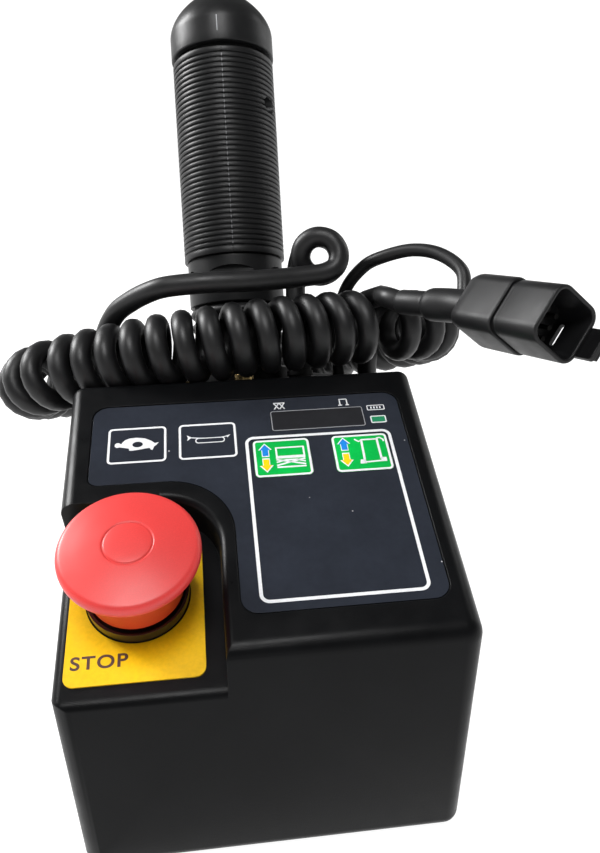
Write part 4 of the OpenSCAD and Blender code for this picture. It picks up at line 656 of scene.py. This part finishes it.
# Display window's rim, a battery outline, two small signs over the window and the status lamp's rim
printed("display_line", outline_band(32.2, 9.3, 0.9, 0.3, DISPLAY, n=8), "root", GREY_LINE)
printed("battery_mark", joined(
    outline_band(6.3, 2.5, 0.5, 0.35, BATTERY, n=6),
    *[slab(round_box(0.5, 1.0, 0.05, 1, (43.3 + 1.05 * k, BATTERY[1])), *INK_Z) for k in range(4)]),
        "root")
SIGNS = (
    ("lift_sign", LIFT_SIGN, [
        [(-1.9, 1.4), (-0.2, -1.4)], [(-0.2, 1.4), (-1.9, -1.4)], [(0, 1.4), (1.7, -1.4)],
        [(1.7, 1.4), (0, -1.4)], [(-2.1, 1.55), (1.9, 1.55)]]),
    ("drive_sign", DRIVE_SIGN, [
        [(-1.2, 1.5), (-1.2, -1.3)], [(1.3, 1.5), (1.3, -1.3)], [(-1.5, 1.5), (1.3, 1.5)],
        [(-1.9, -1.4), (-0.5, -1.4)], [(0.7, -1.4), (1.9, -1.4)]]))
for name, at, paths in SIGNS:
    printed(name, joined(*lines(at, paths, 0.42)), "root")
printed("status_line", outline_band(5.5, 3.4, 0.6, 0.45, STATUS, n=6), "root")

# Stop button, heights above the recess floor: a rolled rim and a domed top with a ring groove
RIM_R, ROLL_R, HEAD_TOP, DOME_RISE = 17.8, 2.18, 28.18, 2.2
dome_r = (RIM_R ** 2 / DOME_RISE + DOME_RISE) / 2


def dome_height(r, sink=0.0):
    return HEAD_TOP - dome_r + math.sqrt(dome_r ** 2 - r * r) - sink


head = [(7.05, 17.9), (7.05, 16.55), (13.85, 16.51), (13.9, 16.56), (13.9, 19.6), (14.3, 20.5), (15.2, 21.0),
        (RIM_R, 21.02)]
head += arc(RIM_R, 23.2, ROLL_R, -80, 0, 8) + arc(RIM_R, 23.8, ROLL_R, 0, 78, 10)
head += [(r, dome_height(r)) for r in (17.0, 15, 12, 9.5, 8, 7.4)]
head += [(r, dome_height(r, sink)) for r, sink in (
    (7.15, 0.04), (7.0, 0.28), (6.75, 0.30), (6.6, 0.05), (6.3, 0.0), (4, 0), (2, 0), (0, 0))]
piece("stop_mushroom", lathe(head + [(0, 17.9)], 160), FLOOR, "stop_head", RED, ("stop_head",),
      sharp=60)

# The plate's word, fitted to its place on the plate
WORD_AT, WORD_W, WORD_H, PLATE_TOP = (-18.3, -22.3), 15.9, 4.15, 0.51
word = bpy.data.curves.new("stop_word", "FONT")
word.body = "STOP"
word.size = 5.9
word.extrude = 0.02
word.offset = 0.13
word.space_character = 1.12
word_obj = bpy.data.objects.new("stop_word_source", word)
scene.collection.objects.link(word_obj)
word_mesh = evaluated(word_obj)
bpy.data.objects.remove(word_obj)
xs, ys = [v.co.x for v in word_mesh.vertices], [v.co.y for v in word_mesh.vertices]
left, low = min(xs), min(ys)
fit_x, fit_y = WORD_W / (max(xs) - left), WORD_H / (max(ys) - low)
for v in word_mesh.vertices:
    at = (WORD_AT[0] + (v.co.x - left) * fit_x, WORD_AT[1] + (v.co.y - low) * fit_y, PLATE_TOP + v.co.z)
    v.co = (FLOOR @ Vector(at)) * MM
stop_word = bpy.data.objects.new("stop_word", word_mesh)
scene.collection.objects.link(stop_word)
finished(stop_word, "root", INK)

# Joystick, heights above the deck along its own axis
FLANGE_W, FLANGE_H, HOLE_R, DOME_R, DOME_H, BOOT_START, FOLDS = 44, 8, 12, 21.3, 14, 18, 4
COLLAR, COLLAR_R, GRIP_START, GRIP_LEN, GRIP_R, SEAM = 40, 19.5, 58.9, 81.2, 20.7, -3
GRIP_END = GRIP_START + GRIP_LEN
SEAM_FRAME = placed(STICK, turn=(0, 0, SEAM))
CAP_FRAME = placed(STICK, (0, 0, GRIP_END + 2.1))
DIAGONAL = 0.7071


def soft_edge(r, z, e, way):
    """A rounded outer corner of a profile: way 1 turns from the side to the top, -1 from foot to side."""
    return arc(r - e, z - way * e, e, *((0, 90) if way > 0 else (-90, 0)), 4)


piece("joystick_flange", slab([(x * DIAGONAL - y * DIAGONAL, x * DIAGONAL + y * DIAGONAL)
                               for x, y in round_box(FLANGE_W, FLANGE_W, 3, 8)], 0, FLANGE_H),
      STICK, "root", SHELL, ("stick_base",), bevel=0.9, sharp=40)
BALL_EDGE_R, BALL_CENTRE = 18.5, -11
ball_r = math.hypot(BALL_EDGE_R, DOME_H - BALL_CENTRE)
foot = FLANGE_H + 0.1
dome = [(HOLE_R, foot), (DOME_R - 0.05, foot)] + soft_edge(DOME_R, DOME_H, 0.8, 1) + [(18.7, DOME_H)]
dome += [(r, BALL_CENTRE + math.sqrt(ball_r ** 2 - r * r)) for r in (18.4, 17, 15.5, 14, 12.8, 11.9)]
dome += [(11.82, 17.3), (HOLE_R, foot)]
piece("joystick_dome", lathe(dome, 128), STICK, "root", GRIP, sharp=50)
fold = (COLLAR - BOOT_START) / FOLDS
boot = [(HOLE_R, BOOT_START + 0.05), (17.2, BOOT_START + 0.05)]
for i in range(FOLDS):
    boot += [(r, BOOT_START + i * fold + up) for r, up in (
        (17.95, 0.55), (18.9, 1.5), (19.35, 2.2), (19.45, fold / 2), (19.35, 3.3), (18.9, 4.0), (17.95, 4.95),
        (17.7, fold))]
boot[-1] = (17.7, COLLAR - 0.02)
piece("joystick_boot", lathe(boot + [(HOLE_R, COLLAR - 0.02)], 128), STICK, "joystick", RUBBER,
      ("stick_boot",), sharp=60)

# Collar with four arched windows: (middle, width) in degrees round the axis
SHAFT_R, ARCH_FOOT, ARCH_RISE = 6.2, 51.3, 3
collar = [(SHAFT_R, COLLAR), (18.9, COLLAR)] + soft_edge(COLLAR_R, COLLAR, 0.5, -1)
collar += [(COLLAR_R, 50), (COLLAR_R, GRIP_START - 1.2)] + soft_edge(COLLAR_R, GRIP_START - 0.05, 0.5, 1)
collar += [(SHAFT_R, GRIP_START - 0.05), (SHAFT_R, COLLAR)]
collar = raw("joystick_collar", lathe(collar, 160), STICK)
half_round = [(x, y) for x, y in arc(0, 0, 1, 0, 360, 40)[:-1] if y >= -1e-9]
cutters = []
for mid, width in ((-97, 58), (-158, 22), (-30, 40), (90, 60)):
    half = COLLAR_R * math.sin(math.radians(width / 2))
    ring = [[(r, half * x, ARCH_FOOT + ARCH_RISE * max(y, 0)) for x, y in half_round] for r in (17.5, 22)]
    cutters.append(raw("arch_cutter", loft(ring), placed(STICK, turn=(0, 0, mid))))
finished(cut_by(collar, *cutters), "joystick", GRIP, ("stick_collar",), sharp=40)

# Ribbed grip in two halves that meet in two seams
RIB_START, RIB_PITCH, RIB_GAP, RIB_DEPTH, GRIP_CORE_R, SEAM_GAP = 2.4, 2.05, 0.75, 0.55, 17.6, 0.14
BORE_R, BORE_FROM, BORE_TO, BORE_DOWN = 3.2, 14, 24, 20
ribs = math.floor((GRIP_LEN - 2 * RIB_START) / RIB_PITCH)
groove = [(0, -0.16), (-0.05, -0.05), (-0.16, 0), (-RIB_DEPTH, 0.12), (-RIB_DEPTH, RIB_GAP - 0.12),
          (-0.16, RIB_GAP), (-0.05, RIB_GAP + 0.05), (0, RIB_GAP + 0.16)]
half_grip = [(GRIP_CORE_R, 0), (20.3, 0), (20.62, 0.12), (GRIP_R, 0.45)]
for i in range(ribs + 1):
    half_grip += [(GRIP_R + r, RIB_START + i * RIB_PITCH + up) for r, up in groove]
half_grip += [(GRIP_R, GRIP_LEN - 0.5), (GRIP_R - 0.1, GRIP_LEN - 0.15), (GRIP_R - 0.45, GRIP_LEN - 0.02),
              (GRIP_CORE_R, GRIP_LEN - 0.02)]
for side, body_name, start in (("left", "grip_left", 90), ("right", "grip_right", -90)):
    half = raw(f"grip_{side}_half", lathe(half_grip, 192, start + SEAM_GAP, 180 - 2 * SEAM_GAP),
               placed(STICK, (0, 0, GRIP_START), (0, 0, SEAM)))
    if side == "right":
        bore = lathe([(0, BORE_FROM), (BORE_R, BORE_FROM), (BORE_R, BORE_TO), (0, BORE_TO)], 48)
        cut_by(half, raw("bore_cutter", bore, placed(SEAM_FRAME, (0, -10, GRIP_END - BORE_DOWN), (0, 90, 0))))
    finished(half, "joystick", GRIP, (body_name,), sharp=28)

# Flash left by the mould on the front seam, one raised dash on each rib, coloured light grey as a painted
# highlight on the seam's edges
land, rib_0 = RIB_PITCH - RIB_GAP, GRIP_START + RIB_START + RIB_GAP
highlight_dashes = [slab(round_box(0.34, land - 0.25, 0.1, 2, (0, rib_0 + i * RIB_PITCH + land / 2)), 0, 0.14)
         for i in range(ribs)]
piece("grip_seam_highlight", joined(*highlight_dashes), placed(SEAM_FRAME, (0, -GRIP_R + 0.04, 0), (90, 0, 0)), "joystick",
      SEAM_HIGHLIGHT)

CAP_R, CAP_SIDE, CAP_RISE, CAP_FALL, CAP_CURVE, CAP_STEPS, CAP_TOP = 21.1, 9.2, 16.1, 11.3, 1.85, 24, 25.4
cap = [(0, 0.9), (18.6, 0.9), (18.7, 0)] + soft_edge(CAP_R, 0, 0.5, -1) + [(CAP_R, 4), (CAP_R, CAP_SIDE)]
cap += [(CAP_R - CAP_FALL * share ** CAP_CURVE, CAP_SIDE + CAP_RISE * share)
        for share in (k / CAP_STEPS for k in range(1, CAP_STEPS + 1))]
cap += [(9.2, CAP_TOP), (5, CAP_TOP), (0, CAP_TOP)]
piece("steering_cap", lathe(cap, 160), CAP_FRAME, "steer_cap", GRIP, ("steer_cap",), sharp=50)
MARK_W, MARK_L, MARK_UP, MARK_T, MARK_TURN = 0.3, 6.2, 6.6, 0.32, -6
piece("cap_mark", slab(round_box(MARK_W, MARK_L, 0.14, 4, (0, MARK_UP)), 0, MARK_T),
      placed(placed(CAP_FRAME, turn=(0, 0, MARK_TURN)), (0, 0.2 - CAP_R, 0), (90, 0, 0)), "steer_cap",
      GREY_LINE)

# Floor, sky and soft studio light
FLOOR_HALF, PAPER_GLOW = 3000, 0.96
floor = raw("floor", slab([(-FLOOR_HALF, -FLOOR_HALF), (FLOOR_HALF, -FLOOR_HALF), (FLOOR_HALF, FLOOR_HALF),
                           (-FLOOR_HALF, FLOOR_HALF)], -6, -0.1), WORLD)
paper = look("floor_paper", (0.3, 0.3, 0.3), 0.7, grain=300, bump=0.02, vary=0.01, edge=0, level=0.0)
glow = paper.node_tree.nodes["Principled BSDF"].inputs
glow["Emission Color"].default_value = (1, 1, 1, 1)
glow["Emission Strength"].default_value = PAPER_GLOW
floor.data.materials.append(paper)

# White behind the box up to a little over the horizon, half as bright in front, dim above
SKY_DIM, SKY_WHITE, SKY_FRONT = 0.2, 1.1, 0.5
world = bpy.data.worlds.new("studio")
scene.world = world
world.use_nodes = True
sky = world.node_tree
direction = sky.nodes.new("ShaderNodeSeparateXYZ")
sky.links.new(sky.nodes.new("ShaderNodeTexCoord").outputs["Generated"], direction.inputs[0])
behind = map_range(sky, direction.outputs["Y"], -0.1, 0.35, SKY_FRONT, 1)
level = map_range(sky, direction.outputs["Z"], 0.3, 0.12)
strength = map_range(sky, product(sky, behind, level), 0, 1, SKY_DIM, SKY_WHITE)
sky.links.new(strength, sky.nodes["Background"].inputs["Strength"])
sky.nodes["Background"].inputs["Color"].default_value = (1, 1, 1, 1)


def softbox(name, at, aim, width, height, power):
    data = bpy.data.lights.new(name, "AREA")
    data.shape = "RECTANGLE"
    data.size, data.size_y = width, height
    data.energy = power
    obj = bpy.data.objects.new(name, data)
    scene.collection.objects.link(obj)
    obj.location = at
    obj.rotation_mode = "QUATERNION"
    obj.rotation_quaternion = (Vector(aim) - Vector(at)).to_track_quat("-Z", "Y")


softbox("key", (-0.85, 0.5, 0.75), (0, 0, 0.12), 0.35, 0.5, 19)
softbox("top", (-0.1, -0.5, 1.15), (0, 0, 0.1), 0.45, 0.45, 9.5)
softbox("right", (0.9, 0.5, 0.6), (0, 0, 0.14), 0.3, 0.6, 1.6)
